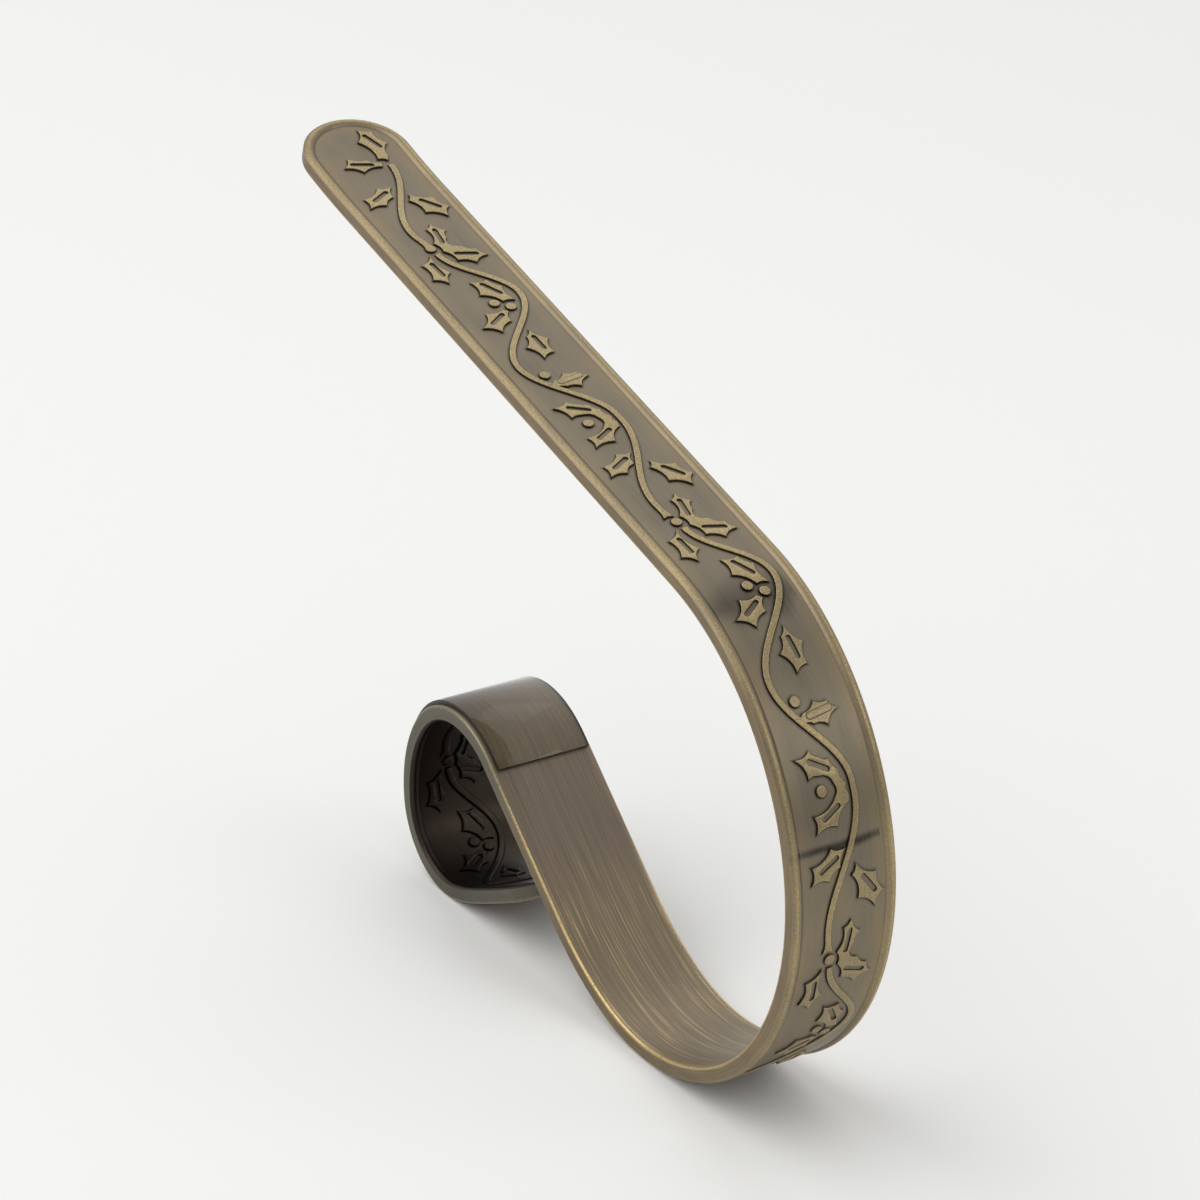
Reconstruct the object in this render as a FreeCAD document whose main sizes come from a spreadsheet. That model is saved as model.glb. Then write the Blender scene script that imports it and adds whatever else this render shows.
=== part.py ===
"""Holder for a stocking on a mantel: an embossed brass strip, bent into a clip and a hook, with a clear film.

The strip is flat stock with rounded ends, a raised rim along both edges and a holly vine pressed into its
front. It is bent on one middle line of tangent arcs and straights: the arm that lies on the shelf, the big
bend in front of the shelf's edge, the seat that carries the stocking, the back stretch and the curl that
presses up under the shelf. The film sticks to the outer side of the curl. Lengths are in millimetres and
angles in degrees. The side view is drawn in the XZ plane with the arm's tip at the origin, and the finished
pieces are then set down on the seat and the curl, as the holder stands on a table.
"""

import FreeCAD, Part
import math
import os

import Sketcher

SIZES = [
    ("strip_width", 25.4, "one inch wide stock"),
    ("strip_thickness", 3.77, "from the back face to the crest of the rim"),
    ("rim_width", 2.5, "raised rim along each edge"),
    ("rim_rise", 0.6, "crest of the rim above the field"),
    ("rim_crest", 0.9, "flat on the crest of the rim, between its sloped flanks"),
    ("back_corner", 0.4, "bevel along the back corners"),
    ("tip_radius", 230.0, "upturned tip of the arm"),
    ("tip_turn", 4.2, "turn of the upturned tip"),
    ("arm_length", 143.0, "straight arm on top of the shelf"),
    ("bend_radius", 60.0, "big bend in front of the shelf"),
    ("bend_turn", 155.9, "turn of the big bend"),
    ("seat_radius", 47.0, "bottom of the hook, where the loop of the stocking sits"),
    ("seat_turn", 30.8, "turn of the hook's bottom"),
    ("rise_radius", 64.5, "rise from the seat to the back stretch"),
    ("rise_turn", 19.6, "turn of the rise"),
    ("back_length", 40.8, "straight back stretch"),
    ("curl_top_radius", 20.7, "crown of the curl, under the shelf"),
    ("curl_top_turn", 90.4, "turn of the crown"),
    ("curl_side_radius", 31.1, "far side of the curl"),
    ("curl_side_turn", 44.8, "turn of the far side"),
    ("curl_foot_radius", 16.7, "foot of the curl"),
    ("curl_foot_turn", 97.9, "turn of the foot"),
    ("curl_floor_radius", 44.0, "rise behind the foot"),
    ("curl_floor_turn", 11.2, "turn of that rise"),
    ("end_radius", 342.0, "nearly straight free end inside the hook"),
    ("end_gap", 1.0, "free end short of the back stretch"),
    ("vine_pitch", 106.2, "length of one repeat of the vine"),
    ("vine_start", 38.45, "first vine node, along the strip from the centre of the tip"),
    ("curl_pitch", 102.4, "length of the repeat that runs up the back stretch into the curl"),
    ("leaf_rise", 0.5, "leaf above the field"),
    ("stem_rise", 0.4, "stem above the field"),
    ("stem_width", 1.4, "width of the stem"),
    ("berry_radius", 1.25, "berry where it meets the field"),
    ("berry_rise", 0.6, "top of a berry above the field"),
    ("slot_width", 0.9, "sunk midrib of a leaf"),
    ("vine_root", 0.4, "depth to which the vine is set into the strip"),
    ("film_lead", 3.2, "film on the back stretch, before the curl's crown"),
    ("film_length", 75.4, "length of the film along the strip"),
    ("film_thickness", 1.0, "clear grip film"),
    ("film_near_inset", 1.4, "bare metal beside the film, on the near edge"),
    ("film_far_inset", 0.8, "bare metal beside the film, on the far edge"),
]

# The middle line from the arm's tip to the free end: arcs as (radius, turn, side), straights as (length,).
# Side +1 turns towards the front face of the strip, -1 towards its back.
COURSE = [
    ("tip_radius", "tip_turn", 1),
    ("arm_length",),
    ("bend_radius", "bend_turn", -1),
    ("seat_radius", "seat_turn", -1),
    ("rise_radius", "rise_turn", -1),
    ("back_length",),
    ("curl_top_radius", "curl_top_turn", 1),
    ("curl_side_radius", "curl_side_turn", 1),
    ("curl_foot_radius", "curl_foot_turn", 1),
    ("curl_floor_radius", "curl_floor_turn", 1),
    ("end_radius", "end_turn", 1),
]
BACK_STRETCH = 5
CROWN = 6
SEAT = 3
FOOT = 8

# The vine is drawn once, on a flat strip, from one node to the next: along the strip and across it.
# DRAWN_PITCH and DRAWN_FIELD are the repeat and the width between the rims at which its outlines are given.
DRAWN_PITCH = 105.2
DRAWN_FIELD = 20.4
STEM_BENDS = [(2.6, -2.2), (22.4, 7.3), (46.4, -6.8), (70.4, 4.6), (98.4, -3.95), (103.6, -3.6)]
BERRIES = [(0.0, -3.0), (23.4, 0.2), (25.7, 3.1), (50.6, -2.8), (69.6, -3.2)]
# Each leaf is its points, joined by hollow edges, and the two ends of its sunk midrib.
LEAVES = [
    (
        [(-7.8, 1.4), (-4.9, 3.8), (-0.3, 2.5), (0.5, 0.6), (-1.2, -1.0), (-6.6, 0.0)],
        [(-5.8, 1.8), (-1.2, 1.1)],
    ),
    ([(0.7, -0.9), (0.4, 1.6), (3.1, 6.8), (6.2, 8.3), (7.8, 4.8), (5.9, 0.9)], [(3.3, 1.5), (5.5, 6.3)]),
    ([(2.4, -4.5), (9.4, -2.9), (12.7, -5.0), (10.6, -7.7), (5.2, -7.3)], [(5.2, -5.5), (10.2, -4.9)]),
    (
        [(23.7, 5.2), (23.4, 2.5), (19.7, -1.2), (14.8, -1.0), (15.1, 2.9), (18.2, 4.9)],
        [(16.3, 1.1), (20.9, 3.6)],
    ),
    ([(27.2, 1.6), (30.5, 0.4), (33.4, -3.4), (30.9, -6.8), (26.5, -3.6)], [(27.7, -0.3), (30.5, -4.2)]),
    (
        [(34.7, 2.3), (36.9, 0.6), (40.7, -1.7), (45.5, 0.2), (43.7, 3.4), (39.0, 4.6)],
        [(37.2, 1.8), (42.4, 1.6)],
    ),
    (
        [(53.8, 6.1), (57.0, 2.8), (56.3, -0.5), (54.4, -4.4), (51.5, 0.5), (51.9, 3.8)],
        [(53.4, 3.9), (54.1, -0.6)],
    ),
    (
        [(64.2, 0.7), (61.3, -4.2), (62.4, -7.2), (66.6, -5.3), (66.3, -3.2), (67.4, -0.5)],
        [(65.4, -0.9), (63.2, -5.0)],
    ),
    (
        [(71.4, 2.8), (72.9, 2.6), (76.7, -0.5), (77.7, -5.3), (73.9, -5.7), (72.4, -0.6)],
        [(73.2, 0.4), (75.4, -3.9)],
    ),
    (
        [(81.6, 0.3), (81.0, -3.0), (83.9, -7.6), (87.6, -7.9), (87.3, -4.0), (84.7, -0.9)],
        [(82.8, -1.7), (85.6, -6.1)],
    ),
    (
        [(85.8, 2.5), (88.2, 7.4), (92.4, 9.2), (95.4, 7.1), (92.7, 3.3), (87.6, 1.4)],
        [(87.9, 3.5), (92.3, 7.0)],
    ),
]
# Two leaves that fill the round tip of the arm, beside the start of the stem.
TIP_LEAVES = [
    (
        [(-6.0, 6.2), (-7.3, 3.4), (-3.3, 1.5), (3.6, 3.0), (4.5, 4.9), (-1.2, 7.6)],
        [(-5.2, 4.0), (-0.6, 5.4)],
    ),
    ([(4.9, 2.9), (6.3, 2.5), (7.0, -2.4), (4.4, -6.0), (1.6, -4.0), (3.2, 0.0)], [(4.8, 0.9), (4.2, -3.7)]),
]
# Where the leaves of a whole repeat start in the drawing, before its node.
LEAF_START = -7.8
# The round tip cuts off most of the repeat before the first node: its stem starts at this bend, and its
# leaves resume here.
TIP_STEM_BEND = (73.4, 4.6)
TIP_LEAF_START = 80.0
# An edge of a leaf longer than HOLLOW_FROM is drawn in by this share of its length.
HOLLOW = 0.12
HOLLOW_FROM = 3.9
STEM_STEPS = 6
BERRY_SIDES = 8
RIM_MARGIN = 0.4
BAND_MARGIN = 1.0
# The free end's length is searched for up to END_LIMIT, to within END_ACCURACY.
END_LIMIT = 60.0
END_ACCURACY = 0.01
STRAIGHT_TURN = 1e-6


def make_sheet(doc):
    """Write the driving sizes to a spreadsheet, each with its alias, and return the sheet."""
    sheet = doc.addObject("Spreadsheet::Sheet", "Sizes")
    for row, (alias, value, meaning) in enumerate(SIZES, start=1):
        sheet.set(f"A{row}", alias)
        sheet.set(f"B{row}", str(value))
        sheet.set(f"C{row}", meaning)
        sheet.setAlias(f"B{row}", alias)
    doc.recompute()
    return sheet


class Course:
    """The strip's bent middle line, with places given by the distance along it and the height off it."""

    def __init__(self, sheet):
        """Lay out the arcs and straights of COURSE from the origin, heading along X."""
        self.pieces = []
        self.length = 0.0
        self.finish = (0.0, 0.0, 0.0)
        for piece in COURSE[:-1]:
            if len(piece) == 1:
                self.add(sheet.get(piece[0]), 0.0)
            else:
                radius = sheet.get(piece[0])
                self.add(math.radians(sheet.get(piece[1])) * radius, piece[2] / radius)
        self.add(self.end_length(sheet), COURSE[-1][2] / sheet.get(COURSE[-1][0]))

    def add(self, length, bend):
        """Add one arc, or a straight where bend is 0; bend is 1 over the radius, with the side's sign."""
        self.pieces.append((self.length, length, *self.finish, bend))
        self.finish = self.advance(*self.finish, bend, length)
        self.length += length

    @staticmethod
    def advance(x, z, heading, bend, distance):
        """Return the place and heading after a distance along one arc or straight."""
        if bend == 0.0:
            return x + distance * math.cos(heading), z + distance * math.sin(heading), heading
        turned = heading + bend * distance
        x += (math.sin(turned) - math.sin(heading)) / bend
        z -= (math.cos(turned) - math.cos(heading)) / bend
        return x, z, turned

    def end_length(self, sheet):
        """Return the length of the last arc that leaves the round end just short of the back stretch."""
        _, _, back_x, back_z, back_heading, _ = self.pieces[BACK_STRETCH]
        bend = COURSE[-1][2] / sheet.get(COURSE[-1][0])
        room = sheet.get("strip_thickness") / 2 + sheet.get("end_gap")
        shortest, longest = 0.0, END_LIMIT
        while longest - shortest > END_ACCURACY:
            length = (shortest + longest) / 2
            x, z, heading = self.advance(*self.finish, bend, length)
            x, z, heading = self.advance(x, z, heading, 0.0, sheet.get("strip_width") / 2)
            ahead = (back_x - x) * -math.sin(back_heading) + (back_z - z) * math.cos(back_heading)
            if -ahead > room:
                shortest = length
            else:
                longest = length
        return shortest

    def station(self, along):
        """Return the place and heading at a distance along the strip; past its ends it runs straight."""
        if along < 0.0:
            return self.advance(0.0, 0.0, 0.0, 0.0, along)
        for start, length, x, z, heading, bend in self.pieces:
            if along <= start + length:
                return self.advance(x, z, heading, bend, along - start)
        return self.advance(*self.finish, 0.0, along - self.length)

    def point(self, along, across, height):
        """Return the bent strip's point for a place on the flat one; height is towards the front face."""
        x, z, heading = self.station(along)
        return FreeCAD.Vector(x - height * math.sin(heading), across, z + height * math.cos(heading))

    def axes(self, along):
        """Return the unit vectors along the strip, across it and out of its front face."""
        heading = self.station(along)[2]
        forward = FreeCAD.Vector(math.cos(heading), 0, math.sin(heading))
        return forward, FreeCAD.Vector(0, 1, 0), FreeCAD.Vector(-math.sin(heading), 0, math.cos(heading))

    def edges(self, first, last, across, height):
        """Return the edges of the line at one height, from first to last."""
        joints = [start for start, *_ in self.pieces] + [self.length]
        cuts = [first] + [joint for joint in joints if first < joint < last] + [last]
        edges = []
        for begin, end in zip(cuts, cuts[1:]):
            places = [self.point(along, across, height) for along in (begin, (begin + end) / 2, end)]
            turn = self.station(end)[2] - self.station(begin)[2]
            curve = Part.Arc(*places) if abs(turn) > STRAIGHT_TURN else Part.LineSegment(places[0], places[2])
            edges.append(curve.toShape())
        return edges

    def band(self, first, last, low, high, near, far):
        """Return the solid between two heights off the middle line, over a stretch of the strip."""
        outline = self.edges(first, last, near, low)
        outline.append(Part.makeLine(self.point(last, near, low), self.point(last, near, high)))
        outline += reversed(self.edges(first, last, near, high))
        outline.append(Part.makeLine(self.point(first, near, high), self.point(first, near, low)))
        wire = Part.Wire(Part.__sortEdges__(outline))
        return Part.Face(wire).extrude(FreeCAD.Vector(0, far - near, 0))


def new_sketch(body, name, role):
    """Return a new sketch on the body's origin plane with the given role."""
    sketch = body.newObject("Sketcher::SketchObject", name)
    plane = next(plane for plane in body.Origin.OriginFeatures if plane.Role == role)
    sketch.AttachmentSupport = [(plane, "")]
    sketch.MapMode = "FlatFace"
    return sketch


def hold(sketch, constraint, name):
    """Add a constraint that the sheet's cell of the same name drives."""
    index = sketch.addConstraint(constraint)
    sketch.renameConstraint(index, name)
    unit = " * 1 deg" if constraint.Type == "Angle" else ""
    sketch.setExpression(f"Constraints.{name}", f"Sizes.{name}{unit}")


def draw_course(body, course):
    """Draw the middle line in the side view: tangent arcs and straights, each held by its own sizes."""
    sketch = new_sketch(body, "MiddleLine", "XZ_Plane")
    last_end = None
    for (_, length, x, z, heading, bend), sizes in zip(course.pieces, COURSE):
        end_x, end_z, end_heading = course.advance(x, z, heading, bend, length)
        if bend == 0.0:
            line = Part.LineSegment(FreeCAD.Vector(x, z, 0), FreeCAD.Vector(end_x, end_z, 0))
            index = sketch.addGeometry(line)
            begin, end = (index, 1), (index, 2)
        else:
            centre = FreeCAD.Vector(x - math.sin(heading) / bend, z + math.cos(heading) / bend, 0)
            circle = Part.Circle(centre, FreeCAD.Vector(0, 0, 1), 1 / abs(bend))
            quarter = math.copysign(math.pi / 2, bend)
            angles = sorted((heading - quarter, end_heading - quarter))
            index = sketch.addGeometry(Part.ArcOfCircle(circle, *angles))
            begin, end = ((index, 1), (index, 2)) if bend > 0 else ((index, 2), (index, 1))
        if last_end is None:
            sketch.addConstraint(Sketcher.Constraint("Coincident", *begin, -1, 1))
            sketch.addConstraint(Sketcher.Constraint("PointOnObject", index, 3, -2))
        else:
            sketch.addConstraint(Sketcher.Constraint("Tangent", *last_end, *begin))
        if bend == 0.0:
            hold(sketch, Sketcher.Constraint("Distance", index, length), sizes[0])
        else:
            hold(sketch, Sketcher.Constraint("Radius", index, 1 / abs(bend)), sizes[0])
            hold(sketch, Sketcher.Constraint("Angle", index, abs(bend) * length), sizes[1])
        last_end = end
    return sketch


def field_height(sheet):
    """Return the height of the field between the rims above the middle line."""
    return sheet.get("strip_thickness") / 2 - sheet.get("rim_rise")


def draw_section(sketch, sheet, sides):
    """Draw the strip's section: both sides for the sweep, or one side to turn round an end."""
    half = sheet.get("strip_width") / 2
    crest = sheet.get("strip_thickness") / 2
    corner = sheet.get("back_corner")
    rim = sheet.get("rim_width")
    flank = (rim - sheet.get("rim_crest")) / 2
    field = field_height(sheet)
    outline = [
        (0, -crest),
        (half - corner, -crest),
        (half, corner - crest),
        (half, field),
        (half - flank, crest),
        (half - rim + flank, crest),
        (half - rim, field),
        (0, field),
    ]
    if len(sides) == 1:
        outline.append(outline[0])
    for side in sides:
        places = [FreeCAD.Vector(side * across, height, 0) for across, height in outline]
        for first, second in zip(places, places[1:]):
            sketch.addGeometry(Part.LineSegment(first, second))


def make_strip(doc, sheet, course):
    """Make the plain bent strip with its rims: a swept section, with each end turned to a half round."""
    body = doc.addObject("PartDesign::Body", "BentStrip")
    path = draw_course(body, course)
    section = new_sketch(body, "StripSection", "YZ_Plane")
    draw_section(section, sheet, (1, -1))
    doc.recompute()
    sweep = body.newObject("PartDesign::AdditivePipe", "StripSweep")
    sweep.Profile = section
    sweep.Spine = path
    sweep.Mode = "Frenet"
    doc.recompute()
    for name, along, backwards in (("TipRound", 0.0, False), ("EndRound", course.length, True)):
        x, z, heading = course.station(along)
        half = new_sketch(body, name + "Section", "YZ_Plane")
        draw_section(half, sheet, (1,))
        tilt = FreeCAD.Rotation(FreeCAD.Vector(1, 0, 0), -math.degrees(heading))
        half.AttachmentOffset = FreeCAD.Placement(FreeCAD.Vector(0, z, x), tilt)
        doc.recompute()
        end = body.newObject("PartDesign::Revolution", name)
        end.Profile = half
        end.ReferenceAxis = (half, ["V_Axis"])
        end.Angle = 180.0
        end.Reversed = backwards
        doc.recompute()
    return body


class Vine:
    """The holly vine on the strip's front: leaves, berries and stem, each sunk a little into the field."""

    def __init__(self, sheet, course):
        """Take the sizes of the relief and the scale at which the drawn repeat lies on the strip."""
        self.sheet = sheet
        self.course = course
        self.field = field_height(sheet)
        self.foot = self.field - sheet.get("vine_root")
        self.half_field = sheet.get("strip_width") / 2 - sheet.get("rim_width")
        self.stretch = sheet.get("vine_pitch") / DRAWN_PITCH
        self.spread = 2 * self.half_field / DRAWN_FIELD

    def laid(self, drawn, origin):
        """Return the place on the flat strip of a drawn point, from the node at origin."""
        return origin + drawn[0] * self.stretch, drawn[1] * self.spread

    def pitch_from(self, origin):
        """Return the length of the repeat from a node; the one that runs into the curl has its own."""
        pitch = self.sheet.get("vine_pitch")
        crown = self.course.pieces[CROWN][0]
        return self.sheet.get("curl_pitch") if origin < crown < origin + pitch else pitch

    def fits(self, along, across):
        """Tell whether a place lies inside the field, clear of the rims and of both round ends."""
        beyond = max(-along, along - self.course.length, 0.0)
        return math.hypot(beyond, across) < self.half_field - RIM_MARGIN

    def prism(self, points, midrib, low, high):
        """Return an upright leaf with hollow edges and an open midrib, square to the strip at its middle."""
        middle = sum(along for along, _ in points) / len(points)
        forward, sideways, upward = self.course.axes(middle)
        base = self.course.point(middle, 0, 0)

        def flat(place):
            spot = self.course.point(*place, self.field) - base
            return base + forward * spot.dot(forward) + sideways * place[1] + upward * low

        corners = [flat(place) for place in points]
        centre = sum(corners, FreeCAD.Vector()) * (1 / len(corners))
        outline = []
        for first, second in zip(corners, corners[1:] + corners[:1]):
            outline.append(first)
            length = first.distanceToPoint(second)
            if length > HOLLOW_FROM:
                chord = (first + second) * 0.5
                outline.append(chord + (centre - chord).normalize() * (length * HOLLOW))
        start, end = (flat(place) for place in midrib)
        side = (end - start).cross(upward).normalize() * (self.sheet.get("slot_width") / 2)
        slot = [start - side, end, start + side]
        wires = [Part.makePolygon(ring + ring[:1]) for ring in (outline, slot)]
        return Part.Face(wires, "Part::FaceMakerBullseye").extrude(upward * (high - low))

    def leaf(self, outline, slot, origin):
        """Return one leaf, cut to the curve of the strip, or None where it would not fit."""
        points = [self.laid(place, origin) for place in outline]
        if not all(self.fits(*place) for place in points):
            return None
        reach = self.sheet.get("leaf_rise") + self.sheet.get("vine_root") + BAND_MARGIN
        midrib = [self.laid(place, origin) for place in slot]
        prism = self.prism(points, midrib, self.foot - reach, self.field + reach)
        first = min(along for along, _ in points) - BAND_MARGIN
        last = max(along for along, _ in points) + BAND_MARGIN
        top = self.field + self.sheet.get("leaf_rise")
        return prism.common(self.course.band(first, last, self.foot, top, -self.half_field, self.half_field))

    def berry(self, place, origin):
        """Return one berry, a low round boss, or None where it would not fit."""
        along, across = self.laid(place, origin)
        if not self.fits(along, across):
            return None
        forward, sideways, upward = self.course.axes(along)
        centre = self.course.point(along, across, self.foot)
        radius = self.sheet.get("berry_radius")
        turns = [2 * math.pi * step / BERRY_SIDES for step in range(BERRY_SIDES + 1)]
        ring = [centre + (forward * math.cos(turn) + sideways * math.sin(turn)) * radius for turn in turns]
        height = self.field + self.sheet.get("berry_rise") - self.foot
        return Part.Face(Part.makePolygon(ring)).extrude(upward * height)

    def stem(self, bends, origin):
        """Return the stem, a flat-topped band that swings between the bends as half waves."""
        places = []
        for (start, low), (end, high) in zip(bends, bends[1:]):
            for step in range(STEM_STEPS):
                share = step / STEM_STEPS
                swing = (1 - math.cos(math.pi * share)) / 2
                slope = (high - low) / (end - start) * math.pi / 2 * math.sin(math.pi * share)
                places.append((start + share * (end - start), low + swing * (high - low), slope))
        places.append((*bends[-1], 0.0))
        sections = []
        for drawn_along, drawn_across, slope in places:
            along, across = self.laid((drawn_along, drawn_across), origin)
            forward, sideways, upward = self.course.axes(along)
            side = (sideways - forward * slope).normalize() * (self.sheet.get("stem_width") / 2)
            middle = self.course.point(along, across, self.foot)
            rise = upward * (self.field + self.sheet.get("stem_rise") - self.foot)
            ring = [middle - side, middle + side, middle + side + rise, middle - side + rise, middle - side]
            sections.append(Part.makePolygon(ring))
        return Part.makeLoft(sections, True, True)

    def repeat(self, origin, stem_bends, leaf_start):
        """Return the pieces of one repeat: the stem through its bends, and what grows from leaf_start on."""
        self.stretch = self.pitch_from(origin) / DRAWN_PITCH
        leaves = [leaf for leaf in LEAVES if min(along for along, _ in leaf[0]) >= leaf_start]
        pieces = [self.leaf(outline, slot, origin) for outline, slot in leaves]
        pieces += [self.berry(place, origin) for place in BERRIES if place[0] >= leaf_start]
        bends = [bend for bend in stem_bends if self.fits(*self.laid(bend, origin))]
        if len(bends) > 1:
            pieces.append(self.stem(bends, origin))
        return pieces

    def shape(self):
        """Return the whole vine, from the tip's own leaves to the free end."""
        origin = self.sheet.get("vine_start")
        pieces = [self.leaf(outline, slot, 0.0) for outline, slot in TIP_LEAVES]
        tip_bends = [TIP_STEM_BEND] + [bend for bend in STEM_BENDS if bend[0] > TIP_STEM_BEND[0]]
        pieces += self.repeat(origin - self.sheet.get("vine_pitch"), tip_bends, TIP_LEAF_START)
        while origin < self.course.length:
            pieces += self.repeat(origin, STEM_BENDS, LEAF_START)
            origin += self.pitch_from(origin)
        pieces = [piece for piece in pieces if piece]
        return pieces[0].multiFuse(pieces[1:])


def resting_place(course, sheet, shape):
    """Return the placement that stands the holder on its seat and curl, centred on the origin."""
    below = sheet.get("strip_thickness") / 2
    centres = []
    for index in (SEAT, FOOT):
        _, _, x, z, heading, bend = course.pieces[index]
        centre = FreeCAD.Vector(x - math.sin(heading) / bend, 0, z + math.cos(heading) / bend)
        centres.append((centre, 1 / abs(bend) + below))
    (seat, seat_radius), (foot, foot_radius) = centres
    gap = seat - foot
    lean = math.asin((seat_radius - foot_radius) / gap.Length)
    turn = math.degrees(math.atan2(gap.z, gap.x) - lean)
    placement = FreeCAD.Placement(FreeCAD.Vector(), FreeCAD.Rotation(FreeCAD.Vector(0, 1, 0), turn))
    box = shape.transformed(placement.toMatrix(), copy=True).optimalBoundingBox(False)
    middle = FreeCAD.Vector((box.XMin + box.XMax) / 2, (box.YMin + box.YMax) / 2, box.ZMin)
    placement.Base = middle * -1
    return placement


def make_film(doc, sheet, course):
    """Make the clear film that is stuck round the outer side of the curl."""
    half = sheet.get("strip_width") / 2
    inner = -sheet.get("strip_thickness") / 2
    start = course.pieces[CROWN][0] - sheet.get("film_lead")
    film = doc.addObject("Part::Feature", "GripFilm")
    film.Shape = course.band(
        start,
        start + sheet.get("film_length"),
        inner - sheet.get("film_thickness"),
        inner,
        sheet.get("film_near_inset") - half,
        half - sheet.get("film_far_inset"),
    )
    film.Label = "grip_pad"
    return film


def make_strap(doc, sheet, course):
    """Make the embossed strip: the plain strip with the vine fused to its front."""
    body = make_strip(doc, sheet, course)
    vine = doc.addObject("Part::Feature", "HollyVine")
    vine.Shape = Vine(sheet, course).shape()
    strap = doc.addObject("Part::Fuse", "EmbossedStrip")
    strap.Base = body
    strap.Tool = vine
    strap.Label = "holder_strap"
    doc.recompute()
    return strap


def write_end_turn(doc, sheet, course):
    """Add the free end's turn, which follows from its gap, to the sheet."""
    row = len(SIZES) + 1
    bend = course.pieces[-1][-1]
    sheet.set(f"A{row}", "end_turn")
    sheet.set(f"B{row}", str(math.degrees(course.pieces[-1][1] * abs(bend))))
    sheet.set(f"C{row}", "turn of the free end, worked out from its gap")
    sheet.setAlias(f"B{row}", "end_turn")
    doc.recompute()


def main():
    """Build the document, check every object and write one file for each piece."""
    doc = FreeCAD.newDocument("StockingHolder")
    sheet = make_sheet(doc)
    course = Course(sheet)
    write_end_turn(doc, sheet, course)
    strap = make_strap(doc, sheet, course)
    film = make_film(doc, sheet, course)
    placement = resting_place(course, sheet, strap.Shape)
    for piece in (strap, film):
        piece.Placement = placement
    doc.recompute()
    failed = [item.Name for item in doc.Objects if {"Invalid", "Error"} & set(item.State)]
    if failed:
        raise RuntimeError(f"objects not built: {failed}")
    os.makedirs("parts", exist_ok=True)
    for piece in (strap, film):
        if piece.Shape.isNull() or not piece.Shape.isValid():
            raise RuntimeError(f"{piece.Label} is not a valid shape")
        piece.Shape.exportStep(f"parts/{piece.Label}.step")
        volume = round(piece.Shape.Volume, 1)
        print(piece.Label, len(piece.Shape.Solids), "solid", volume, "cubic millimetres")


main()
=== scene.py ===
"""Looks of the mantel stocking holder: an antique brass strip with a pressed holly vine, and its clear film.

The strip is modelled flat, as the stock lies before it is bent: along it, across it and up from its middle
layer, in millimetres. It is then bent along the same middle line of arcs and straights as the solid one.
"""

import logging
import math
from collections.abc import Iterator, Sequence
from dataclasses import dataclass, field
from enum import Enum

import bmesh
import bpy
from bmesh.types import BMesh, BMVert
from mathutils import Matrix, Quaternion, Vector

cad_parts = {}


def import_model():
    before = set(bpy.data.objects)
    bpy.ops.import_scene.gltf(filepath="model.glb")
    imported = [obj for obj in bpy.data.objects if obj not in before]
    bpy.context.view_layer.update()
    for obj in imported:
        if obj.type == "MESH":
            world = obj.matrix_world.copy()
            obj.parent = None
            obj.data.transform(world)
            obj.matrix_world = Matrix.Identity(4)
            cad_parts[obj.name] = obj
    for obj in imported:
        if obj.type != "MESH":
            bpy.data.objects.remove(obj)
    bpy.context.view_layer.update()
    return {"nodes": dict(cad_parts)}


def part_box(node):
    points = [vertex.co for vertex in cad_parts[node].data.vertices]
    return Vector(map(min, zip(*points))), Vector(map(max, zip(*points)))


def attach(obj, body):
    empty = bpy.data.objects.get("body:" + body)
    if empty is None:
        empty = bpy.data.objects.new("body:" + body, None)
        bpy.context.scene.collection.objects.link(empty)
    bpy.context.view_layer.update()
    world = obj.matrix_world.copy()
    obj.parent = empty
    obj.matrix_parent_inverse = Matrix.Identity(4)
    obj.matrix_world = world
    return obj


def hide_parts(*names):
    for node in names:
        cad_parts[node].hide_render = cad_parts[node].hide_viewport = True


LOG = logging.getLogger("stocking_holder")
MILLIMETRE = 0.001

FLAT_PLACE = "flat_place"
# Per vertex: wear and dark patina, with painted shade and painted highlight on the sides of the relief and at
# the beads' inner feet.
WEAR_AND_SHADE = "wear"

# A corner of a ring moves out by no more than the ring's distance divided by this.
SHARPEST = 0.65

Spot = tuple[float, float]
Span = tuple[float, float]
Shades = tuple[tuple[float, str], ...]
Socket = bpy.types.NodeSocket


class Side(Enum):
    """The side that an arc of the strip turns to."""

    FRONT = 1
    BACK = -1
    STRAIGHT = 0


class Skin(Enum):
    """The finishes of the strip, in the order of its material slots."""

    FRONT = 0
    BACK = 1
    EDGE = 2


@dataclass(frozen=True)
class Stretch:
    """One arc or straight of the strip's middle line.

    Args:
        side: the side that it turns to.
        size: the arc's radius, or the straight's length.
        turn: the arc's turn in degrees.
    """

    side: Side
    size: float
    turn: float = 0.0

    def bend(self) -> float:
        """Return one over the radius, signed by the side, or 0 for a straight."""
        return 0.0 if self.side is Side.STRAIGHT else self.side.value / self.size

    def length(self) -> float:
        """Return the length along the middle line."""
        return self.size if self.side is Side.STRAIGHT else math.radians(self.turn) * self.size


@dataclass(frozen=True)
class Station:
    """A place on the middle line in the side view.

    Args:
        x: how far it lies along X.
        z: how high it lies.
        heading: where the strip runs to from there, in radians.
    """

    x: float
    z: float
    heading: float

    def advance(self, bend: float, distance: float) -> "Station":
        """Return the station further along an arc or a straight.

        Args:
            bend: one over its radius, signed by the side that it turns to, or 0 for a straight.
            distance: how far further.

        Returns:
            The station there.
        """
        if bend == 0.0:
            x = self.x + distance * math.cos(self.heading)
            z = self.z + distance * math.sin(self.heading)
            return Station(x, z, self.heading)
        turned = self.heading + bend * distance
        x = self.x + (math.sin(turned) - math.sin(self.heading)) / bend
        z = self.z - (math.cos(turned) - math.cos(self.heading)) / bend
        return Station(x, z, turned)


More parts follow.
